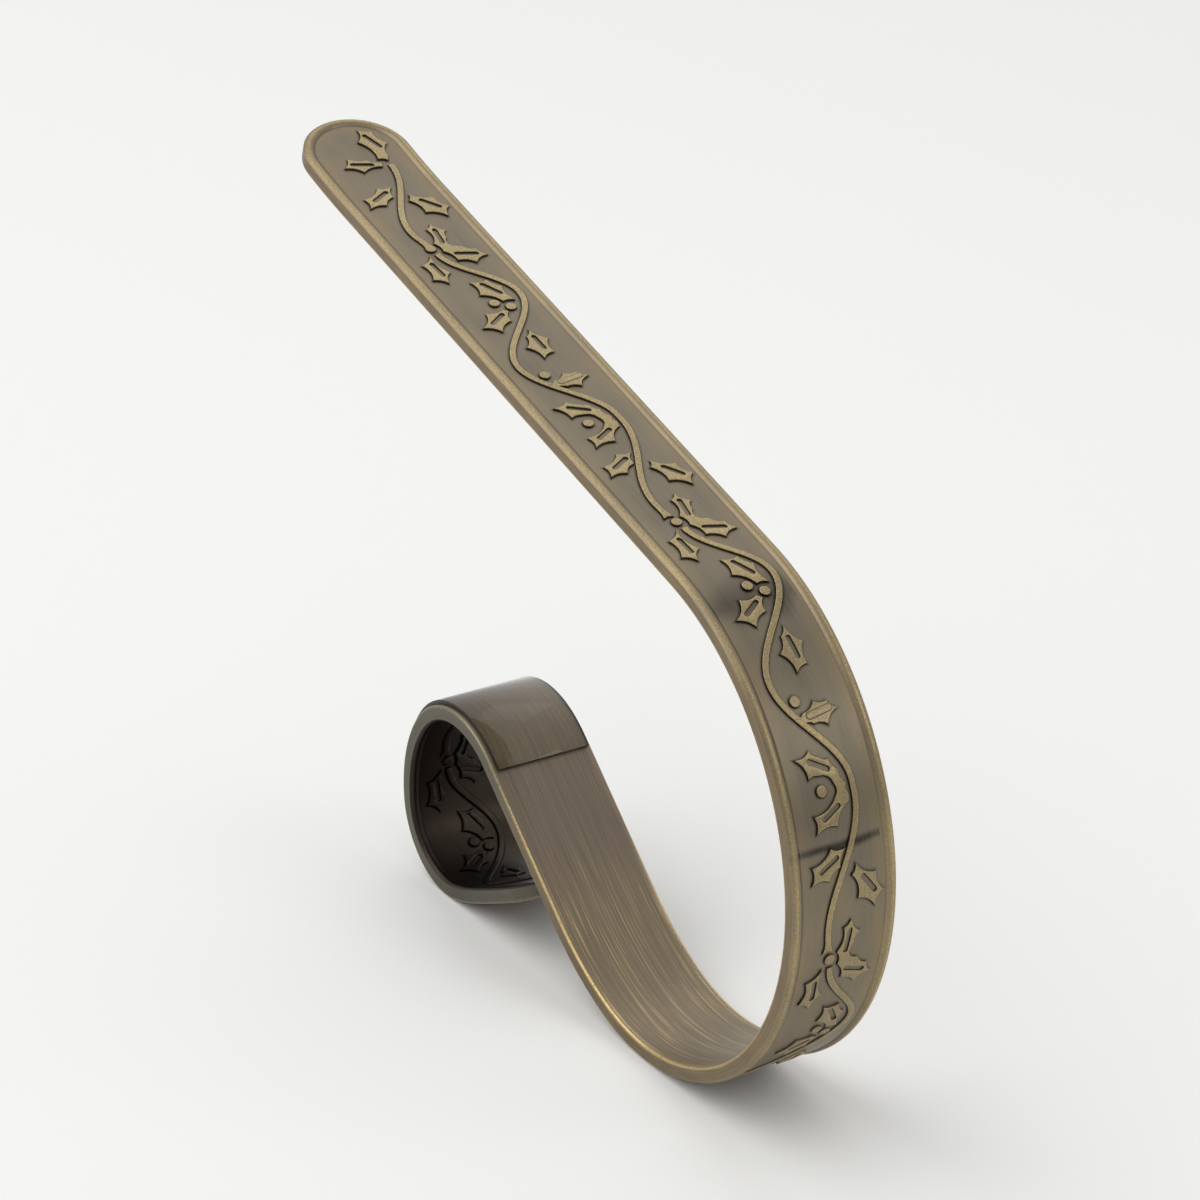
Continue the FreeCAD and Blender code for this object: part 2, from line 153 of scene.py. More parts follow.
@dataclass
class Course:
    """The bent middle line of the strip, set down on its seat and its curl as the holder stands.

    Args:
        half_thickness: half of the strip's thickness.
        chord_error: how far a cut mesh may depart from an arc.
        seat: the stretch that the hook stands on.
        foot: the stretch that the curl stands on.
        big_bend: the stretch that reaches furthest along X.
        crown: the stretch where the curl starts.
        stretches: its arcs and straights, from the tip to the free end.
        starts: where each stretch starts along the strip.
        places: the station where each stretch starts, and the last one's end.
        length: the whole length.
        tilt: the turn that sets it down, in radians.
        shift: the move that sets it down.
    """

    half_thickness: float = 1.885
    chord_error: float = 0.012
    seat: int = 3
    foot: int = 8
    big_bend: int = 2
    crown: int = 6
    stretches: tuple[Stretch, ...] = (
        Stretch(Side.FRONT, 230.0, 4.2),
        Stretch(Side.STRAIGHT, 143.0),
        Stretch(Side.BACK, 60.0, 155.9),
        Stretch(Side.BACK, 47.0, 30.8),
        Stretch(Side.BACK, 64.5, 19.6),
        Stretch(Side.STRAIGHT, 40.8),
        Stretch(Side.FRONT, 20.7, 90.4),
        Stretch(Side.FRONT, 31.1, 44.8),
        Stretch(Side.FRONT, 16.7, 97.9),
        Stretch(Side.FRONT, 44.0, 11.2),
        Stretch(Side.FRONT, 342.0, 3.4646),
    )
    starts: list[float] = field(default_factory=list)
    places: list[Station] = field(default_factory=list)
    length: float = 0.0
    tilt: float = 0.0
    shift: Vector = field(default_factory=Vector)

    def __post_init__(self) -> None:
        """Lay the stretches end to end, and then set the strip down in the frame."""
        place = Station(0.0, 0.0, 0.0)
        for stretch in self.stretches:
            self.starts.append(self.length)
            self.places.append(place)
            place = place.advance(stretch.bend(), stretch.length())
            self.length += stretch.length()
        self.places.append(place)
        self.set_down()

    def centre(self, index: int) -> Vector:
        """Return the centre of an arc in the side view.

        Args:
            index: the arc's place among the stretches.

        Returns:
            The centre, before the strip is set down.
        """
        place = self.places[index]
        bend = self.stretches[index].bend()
        x = place.x - math.sin(place.heading) / bend
        z = place.z + math.cos(place.heading) / bend
        return Vector((x, 0.0, z))

    def set_down(self) -> None:
        """Tilt the strip onto the common tangent under seat and foot, and line it up with the solid's box."""
        reach = [self.stretches[index].size + self.half_thickness for index in (self.seat, self.foot)]
        gap = self.centre(self.seat) - self.centre(self.foot)
        lean = math.asin((reach[0] - reach[1]) / gap.length)
        self.tilt = lean - math.atan2(gap.z, gap.x)
        turned = [self.turned(self.centre(index)) for index in (self.seat, self.big_bend)]
        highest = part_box("holder_strap")[1] / MILLIMETRE
        front = self.stretches[self.big_bend].size + self.half_thickness
        self.shift = Vector((highest.x - front - turned[1].x, 0.0, reach[0] - turned[0].z))

    def turned(self, spot: Vector) -> Vector:
        """Return a place of the side view after the tilt.

        Args:
            spot: the place.

        Returns:
            The place after the tilt.
        """
        x = spot.x * math.cos(self.tilt) - spot.z * math.sin(self.tilt)
        z = spot.x * math.sin(self.tilt) + spot.z * math.cos(self.tilt)
        return Vector((x, spot.y, z))

    def station(self, along: float) -> Station:
        """Return a station of the strip; past both ends it runs on straight.

        Args:
            along: how far it lies along the strip.

        Returns:
            The station.
        """
        if along < 0.0:
            return self.places[0].advance(0.0, along)
        for start, stretch, place in zip(self.starts, self.stretches, self.places):
            if along <= start + stretch.length():
                return place.advance(stretch.bend(), along - start)
        return self.places[-1].advance(0.0, along - self.length)

    def bent(self, flat: Vector) -> Vector:
        """Return the place in the frame of a place on the flat strip.

        Args:
            flat: the place along the strip, across it and up from its middle layer.

        Returns:
            The place in the frame, in metres.
        """
        station = self.station(flat.x)
        x = station.x - flat.z * math.sin(station.heading)
        z = station.z + flat.z * math.cos(station.heading)
        return (self.turned(Vector((x, flat.y, z))) + self.shift) * MILLIMETRE

    def cuts(self) -> Iterator[float]:
        """Find the places along the strip where a mesh is cut, close enough to bend smoothly.

        Yields:
            The places, from the tip to the free end.
        """
        for start, stretch in zip(self.starts, self.stretches):
            if stretch.side is Side.STRAIGHT:
                yield start
                continue
            steps = math.ceil(stretch.length() / math.sqrt(8.0 * stretch.size * self.chord_error))
            yield from (start + stretch.length() * step / steps for step in range(steps))
        yield self.length


class Press:
    """Gathers meshes that are modelled flat, cuts them so that they bend, and bends them into one mesh.

    A vertex nearer to a cut than cut_tolerance counts as lying on it.
    """

    cut_tolerance = 1e-5

    def __init__(self, course: Course) -> None:
        """Start with an empty mesh.

        Args:
            course: the strip's middle line.
        """
        self.course = course
        self.cuts = list(course.cuts())
        self.whole = bmesh.new()
        self.layers(self.whole)

    @staticmethod
    def layers(mesh: BMesh) -> None:
        """Give a mesh the layers that the finishes read: the place on the flat strip, and the wear with its
        painted shade.
        """
        mesh.verts.layers.float_vector.new(FLAT_PLACE)
        mesh.verts.layers.float.new(WEAR_AND_SHADE)

    def add(self, part: BMesh) -> None:
        """Cut a flat part where the strip bends, bend it and take it in.

        Args:
            part: a mesh with the two layers, which is freed.
        """
        lowest = min(vertex.co.x for vertex in part.verts)
        highest = max(vertex.co.x for vertex in part.verts)
        for cut in self.cuts:
            if lowest < cut < highest:
                everything = part.verts[:] + part.edges[:] + part.faces[:]
                bmesh.ops.bisect_plane(
                    part, geom=everything, dist=self.cut_tolerance, plane_co=(cut, 0, 0), plane_no=(1, 0, 0)
                )
        flat = part.verts.layers.float_vector[FLAT_PLACE]
        for vertex in part.verts:
            vertex[flat] = vertex.co * MILLIMETRE
            vertex.co = self.course.bent(vertex.co)
        loose = bpy.data.meshes.new("bent_part")
        part.to_mesh(loose)
        part.free()
        self.whole.from_mesh(loose)
        bpy.data.meshes.remove(loose)

    def finish(self, name: str, materials: list[bpy.types.Material], sharp: float) -> bpy.types.Object:
        """Make the object of all parts taken in.

        Args:
            name: the object's name.
            materials: its finishes, in the order of the slots.
            sharp: the angle in degrees from which an edge stays sharp.

        Returns:
            The object, which rides on the frame's one body.
        """
        mesh = bpy.data.meshes.new(name)
        self.whole.to_mesh(mesh)
        self.whole.free()
        for material in materials:
            mesh.materials.append(material)
        mesh.polygons.foreach_set("use_smooth", [True] * len(mesh.polygons))
        mesh.set_sharp_from_angle(angle=math.radians(sharp))
        piece = new_object(name, mesh)
        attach(piece, "root")
        LOG.info("%s: %d faces", name, len(mesh.polygons))
        return piece


@dataclass(frozen=True)
class Ring:
    """One ring of faces round a raised piece, or inside its slots.

    Args:
        out: how far it lies outside the drawn outline.
        rise: how high it lies above the field.
        wear: how far it is worn, from -1 in the darkest corner to 1 on a bare edge, on the side that faces
            the light.
        shaded_side_wear: the same on the side that faces away from the light, painted darker there: painted
            shade at the foot, and a duller top edge.
    """

    out: float
    rise: float
    wear: float
    shaded_side_wear: float


@dataclass(frozen=True)
class Leaf:
    """One holly leaf, or two that grow together, as drawn on the flat strip.

    Args:
        points: the outline, joined by hollow edges.
        ribs: the two ends of each sunk midrib.
        ridges: the two ends of each midrib that stands up instead.
    """

    points: tuple[Spot, ...]
    ribs: tuple[tuple[Spot, Spot], ...] = ()
    ridges: tuple[tuple[Spot, Spot], ...] = ()


def outward(places: list[Vector]) -> list[Vector]:
    """Return the way out at each corner of a closed flat outline, a little longer where it is sharp.

    Args:
        places: the corners, counter-clockwise.

    Returns:
        One vector for each corner, which moves both of its sides out by 1, unless the corner is very sharp.
    """
    ways = []
    for before, here, after in zip(places[-1:] + places[:-1], places, places[1:] + places[:1]):
        first = (here - before).normalized()
        second = (after - here).normalized()
        way = Vector((first.y + second.y, -first.x - second.x, 0.0)).normalized()
        straight = way.dot(Vector((first.y, -first.x, 0.0)))
        ways.append(way / max(straight, SHARPEST))
    return ways


def counter_clockwise(places: list[Vector]) -> list[Vector]:
    """Return the corners of an outline in counter-clockwise order."""
    area = sum(here.cross(after).z for here, after in zip(places, places[1:] + places[:1]))
    return places if area > 0.0 else places[::-1]


class Relief:
    """Raises pieces of the vine from the field of the strip.

    The side of each piece that faces away from the light, towards shaded_way, is painted darker: painted
    shade at its foot and a duller top edge. It wears the vine fully as far as full_wear_to along the strip,
    and only a share of that, less_wear, from less_wear_from on, where the strip bends.
    """

    shaded_way = Vector((0.6, -0.8, 0.0))
    full_wear_to = 168.0
    less_wear_from = 195.0
    less_wear = 0.8

    def __init__(self, press: Press, field_height: float) -> None:
        """Take the press that bends the pieces, and the height of the field."""
        self.press = press
        self.field_height = field_height

    def grow(self, mesh: BMesh, corners: list[BMVert], outline: list[Vector], ring: Ring) -> list[BMVert]:
        """Extrude a ring of faces from the mesh's open edge.

        Args:
            mesh: the mesh.
            corners: the corners of its open edge.
            outline: the drawn outline that the rings follow.
            ring: the new ring.

        Returns:
            The corners of the new open edge.
        """
        edges = [mesh.edges.get(pair) for pair in zip(corners, corners[1:] + corners[:1])]
        made = bmesh.ops.extrude_edge_only(mesh, edges=edges)["geom"]
        fresh = {item for item in made if isinstance(item, BMVert)}
        grown = []
        for corner, place, way in zip(corners, outline, outward(outline)):
            neighbours = (edge.other_vert(corner) for edge in corner.link_edges)
            vertex = next(neighbour for neighbour in neighbours if neighbour in fresh)
            self.settle(mesh, vertex, place, way, ring)
            grown.append(vertex)
        return grown

    def settle(self, mesh: BMesh, vertex: BMVert, place: Vector, way: Vector, ring: Ring) -> None:
        """Put a vertex on its ring, with the wear of the side that it lies on, painted darker on the side
        away from the light.

        Args:
            mesh: the mesh that it belongs to.
            vertex: the vertex.
            place: the corner of the drawn outline.
            way: the way out from there.
            ring: the ring.
        """
        vertex.co = place + way * ring.out
        vertex.co.z = self.field_height + ring.rise
        # Painted shade: the more a vertex faces shaded_way, away from the light, the more it takes the ring's
        # darker lee value.
        turned_away = (1.0 + way.normalized().dot(self.shaded_way)) / 2
        wear = ring.wear + (ring.shaded_side_wear - ring.wear) * turned_away
        past = (place.x - self.full_wear_to) / (self.less_wear_from - self.full_wear_to)
        if wear > 0.0:
            wear *= 1.0 - (1.0 - self.less_wear) * min(1.0, max(0.0, past))
        vertex[mesh.verts.layers.float[WEAR_AND_SHADE]] = wear

    def loop(self, mesh: BMesh, outline: list[Vector], ring: Ring) -> list[BMVert]:
        """Draw a closed ring of edges.

        Args:
            mesh: the mesh that it is drawn in.
            outline: the drawn outline that it follows.
            ring: the ring.

        Returns:
            Its corners.
        """
        corners = []
        for place, way in zip(outline, outward(outline)):
            vertex = mesh.verts.new()
            self.settle(mesh, vertex, place, way, ring)
            corners.append(vertex)
        for pair in zip(corners, corners[1:] + corners[:1]):
            mesh.edges.new(pair)
        return corners

    @staticmethod
    def fill(mesh: BMesh, *loops: list[BMVert]) -> None:
        """Fill the flat face between one outer ring and the rings of its openings."""
        edges = [mesh.edges.get(pair) for loop in loops for pair in zip(loop, loop[1:] + loop[:1])]
        bmesh.ops.triangle_fill(mesh, edges=edges, use_beauty=True, normal=(0, 0, 1))

    def raise_up(
        self,
        outline: list[Vector],
        rings: list[Ring],
        slots: Sequence[list[Vector]] = (),
        sunk: Sequence[Ring] = (),
    ) -> None:
        """Raise one piece from the field and hand it to the press.

        Args:
            outline: its outline on the flat strip.
            rings: its rings, from the edge of its flat top outwards and down.
            slots: the outlines of its sunk midribs.
            sunk: the rings of each midrib, from the leaf's top inwards.
        """
        mesh = bmesh.new()
        self.press.layers(mesh)
        outline = counter_clockwise(outline)
        slots = [counter_clockwise(slot) for slot in slots]
        top = self.loop(mesh, outline, rings[0])
        mouths = [self.loop(mesh, slot, sunk[0]) for slot in slots]
        self.fill(mesh, top, *mouths)
        for slot, mouth in zip(slots, mouths):
            for ring in sunk[1:]:
                mouth = self.grow(mesh, mouth, slot, ring)
            self.fill(mesh, mouth)
        for ring in rings[1:]:
            top = self.grow(mesh, top, outline, ring)
        self.fill(mesh, top)
        bmesh.ops.recalc_face_normals(mesh, faces=mesh.faces)
        self.press.add(mesh)


@dataclass(frozen=True)
class Repeat:
    """One repeat of the vine.

    Args:
        origin: the place of its node along the strip.
        pitch: its length.
        strip_length: the strip's length between the centres of its round ends.
    """

    origin: float
    pitch: float
    strip_length: float


@dataclass
class HollyVine:
    """The vine pressed into the front of the strip: leaves, berries and stem, repeated along it.

    Places are drawn on a flat strip from the vine's node, along and across it.

    Args:
        pitch: the length of a repeat.
        curl_pitch: the length of the repeat that runs into the curl.
        start: where the first whole repeat starts along the strip.
        drawn_pitch: the length of the repeat as it is drawn here.
        leaf_rise: how high leaves and berries stand above the field.
        stem_rise: how high the stem stands.
        stem_width: the width of the stem.
        stem_step: the length of its straight pieces.
        stem_flare: how far its end flares on both sides.
        flare_reach: where the flare starts before the end.
        end_hollow: how deep the end is hollow.
        berry_radius: the radius of a berry.
        berry_sides: the number of its sides.
        top_wear: how far the tops are worn.
        slot_width: the width of a midrib.
        half_turn_steps: the number of sides of a midrib's round end.
        half_field: half of the field's width.
        rim_margin: how far the vine stays off the rim.
        edge_step: the length of the straight pieces of a leaf's edge.
        hollow: how deep a leaf's edge is hollow, as a share of its length.
        hollow_from: the length from which an edge is hollow.
        tip_stem_start: the start of the stem at the tip.
        tip_leaf_start: where the leaves of the repeat before the first whole one start.
        stem_bends: the bends that the stem swings between.
        berries: the middles of the berries.
        leaves: the leaves.
        tip_leaves: two leaves that only the tip has.
    """

    pitch: float = 106.2
    curl_pitch: float = 102.4
    start: float = 38.45
    drawn_pitch: float = 105.2
    leaf_rise: float = 0.5
    stem_rise: float = 0.45
    stem_width: float = 1.28
    stem_step: float = 1.2
    stem_flare: float = 0.5
    flare_reach: float = 2.4
    end_hollow: float = 0.35
    berry_radius: float = 1.15
    berry_sides: int = 24
    top_wear: float = 0.42
    slot_width: float = 1.25
    half_turn_steps: int = 6
    half_field: float = 10.2
    rim_margin: float = 0.4
    edge_step: float = 0.6
    hollow: float = 0.13
    hollow_from: float = 2.0
    tip_stem_start: Spot = (73.4, 4.75)
    tip_leaf_start: float = 80.0
    stem_bends: tuple[Spot, ...] = (
        (2.65, -2.4), (21.4, 7.6), (46.2, -6.8), (68.6, 4.75), (70.6, 4.75), (98.4, -3.95), (103.6, -3.6),
    )
    berries: tuple[Spot, ...] = ((0.35, -2.87), (23.4, 0.2), (25.7, 3.1), (50.6, -2.8), (69.0, -2.75))
    leaves: tuple[Leaf, ...] = (
        Leaf(
            (
                (-8.1, 1.6), (-4.95, 3.8), (-2.4, 2.55), (0.3, 1.8), (1.75, 4.05), (3.9, 6.7),
                (6.55, 8.1), (8.25, 4.4), (6.2, 0.85), (2.25, -0.6), (-1.05, -1.2), (-6.5, -0.05),
            ),
            ribs=(((-5.7, 1.45), (-1.0, 0.8)), ((3.95, 1.65), (5.4, 5.85))),
        ),
        Leaf(
            ((2.65, -4.35), (9.85, -3.25), (13.3, -5.45), (11.2, -8.2), (5.5, -7.8)),
            (((5.8, -5.6), (10.3, -5.3)),),
        ),
        Leaf(
            ((23.7, 5.2), (23.4, 2.5), (19.7, -1.2), (14.8, -1.0), (15.1, 2.9), (18.2, 4.9)),
            (((16.35, 1.1), (20.45, 3.35)),),
        ),
        Leaf(
            ((27.2, 1.6), (30.5, 0.4), (33.4, -3.4), (30.9, -6.8), (26.5, -3.6), (26.4, 0.5)),
            (((27.9, -0.4), (30.1, -3.9)),),
        ),
        Leaf(
            ((34.5, 2.3), (36.9, 0.6), (40.5, -1.4), (45.1, 0.4), (43.7, 3.4), (39.0, 4.7)),
            (((37.45, 2.0), (41.8, 2.1)),),
        ),
        Leaf(
            (
                (53.9, 6.2), (56.6, 2.9), (55.8, -0.2), (55.3, -2.2), (54.1, -4.0), (53.3, -2.0),
                (51.5, 1.2), (52.0, 4.1),
            ),
            ridges=(((53.4, 4.2), (54.1, -0.8)),),
        ),
        Leaf(
            (
                (60.8, -3.5), (62.4, -1.6), (63.2, 0.45), (65.6, 2.0), (68.6, 3.05), (69.8, 2.7),
                (70.8, 3.25), (72.2, 3.05), (76.5, -0.55), (77.2, -5.55), (73.7, -5.55), (70.8, 0.2),
                (68.9, 0.8), (67.1, 0.1), (65.85, -2.6), (66.1, -5.05), (61.8, -7.2),
            ),
            (((65.0, -0.3), (62.8, -4.0)), ((72.6, 0.35), (74.6, -3.3))),
        ),
        Leaf(
            ((81.3, 0.5), (80.8, -2.8), (83.7, -7.6), (87.3, -7.9), (87.2, -3.9), (84.9, -1.0)),
            (((82.8, -1.7), (84.9, -5.6)),),
        ),
        Leaf(
            ((85.2, 2.8), (87.3, 1.8), (92.6, 3.2), (95.4, 7.3), (92.2, 9.2), (87.9, 7.5)),
            (((88.1, 4.4), (91.7, 7.1)),),
        ),
    )
    tip_leaves: tuple[Leaf, ...] = (
        Leaf(
            ((-6.0, 6.2), (-7.3, 3.4), (-3.3, 1.5), (3.5, 3.0), (4.5, 4.9), (3.0, 5.6), (-1.2, 7.6)),
            (((-4.9, 3.9), (-0.5, 5.5)),),
        ),
        Leaf(
            ((4.9, 2.9), (6.3, 2.5), (7.0, -2.4), (4.4, -6.0), (1.6, -4.0), (3.2, 0.0)),
            (((5.15, 0.4), (3.75, -3.8)),),
        ),
    )

    def rings(self, rise: float) -> list[Ring]:
        """Return the rings of a raised piece: worn top edge, steep side, and the dark patina round its foot,
        with a painted highlight on the top edge towards the light and painted shade at the foot away from it.

        Args:
            rise: how high the piece is above the field.

        Returns:
            The rings, from the top outwards and down.
        """
        bare = self.top_wear
        return [
            Ring(-0.20, rise, bare, bare),
            Ring(-0.08, rise - 0.01, bare + 0.18, bare + 0.1),
            Ring(0.0, rise - 0.05, bare + 0.45, bare + 0.2),
            Ring(0.06, 0.06, -0.1, -1.0),
            Ring(0.14, 0.02, -0.2, -0.85),
            Ring(0.30, 0.015, -0.16, -0.3),
            Ring(0.60, 0.005, -0.05, -0.08),
            Ring(0.8, -0.02, 0.0, 0.0),
            Ring(0.8, -0.30, 0.0, 0.0),
        ]

    def sunk_rings(self) -> list[Ring]:
        """Return the rings of a sunk midrib: the wall that faces away from the light is painted dark, painted
        shade, and the edge of the wall that faces it bright, a painted highlight.

        Returns:
            The rings, from the leaf's top down to the midrib's floor.
        """
        top = self.leaf_rise
        return [
            Ring(0.07, top, 0.5, 0.5),
            Ring(0.0, top - 0.04, 0.5, 0.95),
            Ring(-0.06, 0.14, -0.95, -0.3),
            Ring(-0.12, 0.09, -0.7, -0.1),
            Ring(-0.24, 0.08, -0.05, -0.02),
        ]

    def ridge_rings(self) -> list[Ring]:
        """Return the rings of a midrib that stands up on its leaf, with its top edge painted brighter towards
        the light: a painted highlight.

        Returns:
            The rings, from its top outwards and down.
        """
        top = self.leaf_rise
        return [
            Ring(-0.15, top + 0.12, 0.45, 0.45),
            Ring(0.0, top + 0.08, 0.75, 0.5),
            Ring(0.10, top + 0.02, -0.45, -0.55),
            Ring(0.25, top + 0.005, 0.3, 0.3),
            Ring(0.25, top - 0.20, 0.3, 0.3),
        ]

    def pitch_from(self, origin: float, course: Course) -> float:
        """Return the length of the repeat from a node; the one that runs into the curl has its own."""
        curl = course.starts[course.crown]
        return self.curl_pitch if origin < curl < origin + self.pitch else self.pitch

    def laid(self, drawn: Spot, repeat: Repeat) -> Vector:
        """Return the place on the flat strip of a drawn point of a repeat."""
        return Vector((repeat.origin + drawn[0] * repeat.pitch / self.drawn_pitch, drawn[1], 0.0))

    def fits(self, place: Vector, repeat: Repeat) -> bool:
        """Tell whether a place lies inside the field, clear of the rims and of both round ends."""
        beyond = max(-place.x, place.x - repeat.strip_length, 0.0)
        return math.hypot(beyond, place.y) < self.half_field - self.rim_margin

    def hollow_outline(self, points: list[Vector]) -> list[Vector]:
        """Return an outline whose longer edges are drawn in, as a holly leaf's are.

        Args:
            points: the leaf's points.

        Returns:
            The outline, counter-clockwise.
        """
        points = counter_clockwise(points)
        outline = []
        for first, second in zip(points, points[1:] + points[:1]):
            ahead = second - first
            steps = max(1, round(ahead.length / self.edge_step))
            depth = self.hollow if ahead.length > self.hollow_from else 0.0
            inward = Vector((-ahead.y, ahead.x, 0.0))
            for step in range(steps):
                share = step / steps
                outline.append(first.lerp(second, share) + inward * depth * 4.0 * share * (1.0 - share))
        return outline

    def midrib(self, ends: tuple[Spot, Spot], repeat: Repeat) -> list[Vector]:
        """Return a midrib's outline: two straight sides and two round ends.

        Args:
            ends: the middles of its round ends, as drawn.
            repeat: the repeat that it belongs to.

        Returns:
            The outline.
        """
        first, second = (self.laid(end, repeat) for end in ends)
        ahead = (second - first).normalized()
        aside = Vector((-ahead.y, ahead.x, 0.0))
        turns = [math.pi * step / self.half_turn_steps for step in range(self.half_turn_steps + 1)]
        spokes = [(aside * math.cos(turn) + ahead * math.sin(turn)) * self.slot_width / 2 for turn in turns]
        return [second + spoke for spoke in spokes] + [first - spoke for spoke in spokes]

    def press_leaf(self, relief: Relief, leaf: Leaf, repeat: Repeat) -> None:
        """Press one leaf, unless it reaches over a rim or an end.

        Args:
            relief: what raises it.
            leaf: the leaf.
            repeat: the repeat that it belongs to.
        """
        points = [self.laid(point, repeat) for point in leaf.points]
        if not all(self.fits(point, repeat) for point in points):
            return
        slots = [self.midrib(ends, repeat) for ends in leaf.ribs]
        relief.raise_up(self.hollow_outline(points), self.rings(self.leaf_rise), slots, self.sunk_rings())
        for ends in leaf.ridges:
            relief.raise_up(self.midrib(ends, repeat), self.ridge_rings())

    def press_berry(self, relief: Relief, drawn: Spot, repeat: Repeat) -> None:
        """Press one berry, a low round boss, unless it lies on a rim or past an end.

        Args:
            relief: what raises it.
            drawn: its middle.
            repeat: the repeat that it belongs to.
        """
        centre = self.laid(drawn, repeat)
        if not self.fits(centre, repeat):
            return
        turns = [2 * math.pi * step / self.berry_sides for step in range(self.berry_sides)]
        spokes = [Vector((math.cos(turn), math.sin(turn), 0.0)) for turn in turns]
        relief.raise_up([centre + spoke * self.berry_radius for spoke in spokes], self.rings(self.leaf_rise))

    def stem_line(self, bends: list[Spot], repeat: Repeat) -> list[Vector]:
        """Return the middle line of the stem, which swings between its bends as half waves.

        Args:
            bends: the bends, as drawn.
            repeat: the repeat that it belongs to.

        Returns:
            The places along its middle.
        """
        line = []
        for (start, low), (end, high) in zip(bends, bends[1:]):
            steps = max(2, round((end - start) / self.stem_step))
            for step in range(steps):
                share = step / steps
                swing = (1 - math.cos(math.pi * share)) / 2
                spot = (start + share * (end - start), low + swing * (high - low))
                line.append(self.laid(spot, repeat))
        line.append(self.laid(bends[-1], repeat))
        return line

    def press_stem(self, relief: Relief, bends: list[Spot], repeat: Repeat) -> None:
        """Press one length of stem, which starts square and ends in a flare that is hollow towards the berry.

        Args:
            relief: what raises it.
            bends: the bends, as drawn.
            repeat: the repeat that it belongs to.
        """
        line = self.stem_line(bends, repeat)
        left, right = [], []
        for before, here, after in zip(line[:1] + line[:-1], line, line[1:] + line[-1:]):
            ahead = (after - before).normalized()
            left_to_go = min(1.0, (line[-1] - here).length / self.flare_reach)
            half = self.stem_width / 2 + self.stem_flare * (1.0 - left_to_go) ** 2
            aside = Vector((-ahead.y, ahead.x, 0.0)) * half
            left.append(here + aside)
            right.append(here - aside)
        hollow = line[-1] - (line[-1] - line[-2]).normalized() * self.end_hollow
        relief.raise_up(right + [hollow] + left[::-1], self.rings(self.stem_rise))

    def press_repeat(
        self, relief: Relief, repeat: Repeat, bends: list[Spot], leaf_from: float = -math.inf
    ) -> None:
        """Press one repeat of the vine.

        Args:
            relief: what raises the pieces.
            repeat: the repeat.
            bends: the bends that its stem swings between.
            leaf_from: where its leaves and berries start, in the drawing.
        """
        for leaf in self.leaves:
            if min(point[0] for point in leaf.points) >= leaf_from:
                self.press_leaf(relief, leaf, repeat)
        for berry in self.berries:
            if berry[0] >= leaf_from:
                self.press_berry(relief, berry, repeat)
        bends = [bend for bend in bends if self.fits(self.laid(bend, repeat), repeat)]
        if len(bends) > 1:
            self.press_stem(relief, bends, repeat)

    def press_all(self, relief: Relief, course: Course) -> None:
        """Press the whole vine, from the tip's own leaves to the free end.

        Args:
            relief: what raises it.
            course: the strip's middle line.
        """
        for leaf in self.tip_leaves:
            self.press_leaf(relief, leaf, Repeat(0.0, self.pitch, course.length))
        tip_bends = [self.tip_stem_start]
        tip_bends += [bend for bend in self.stem_bends[:-1] if bend[0] > self.tip_stem_start[0]]
        tip_bends.append((self.drawn_pitch + self.berries[0][0], self.berries[0][1]))
        before = Repeat(self.start - self.pitch, self.pitch, course.length)
        self.press_repeat(relief, before, tip_bends, self.tip_leaf_start)
        origin = self.start
        while origin < course.length:
            repeat = Repeat(origin, self.pitch_from(origin, course), course.length)
            self.press_repeat(relief, repeat, list(self.stem_bends))
            origin += repeat.pitch


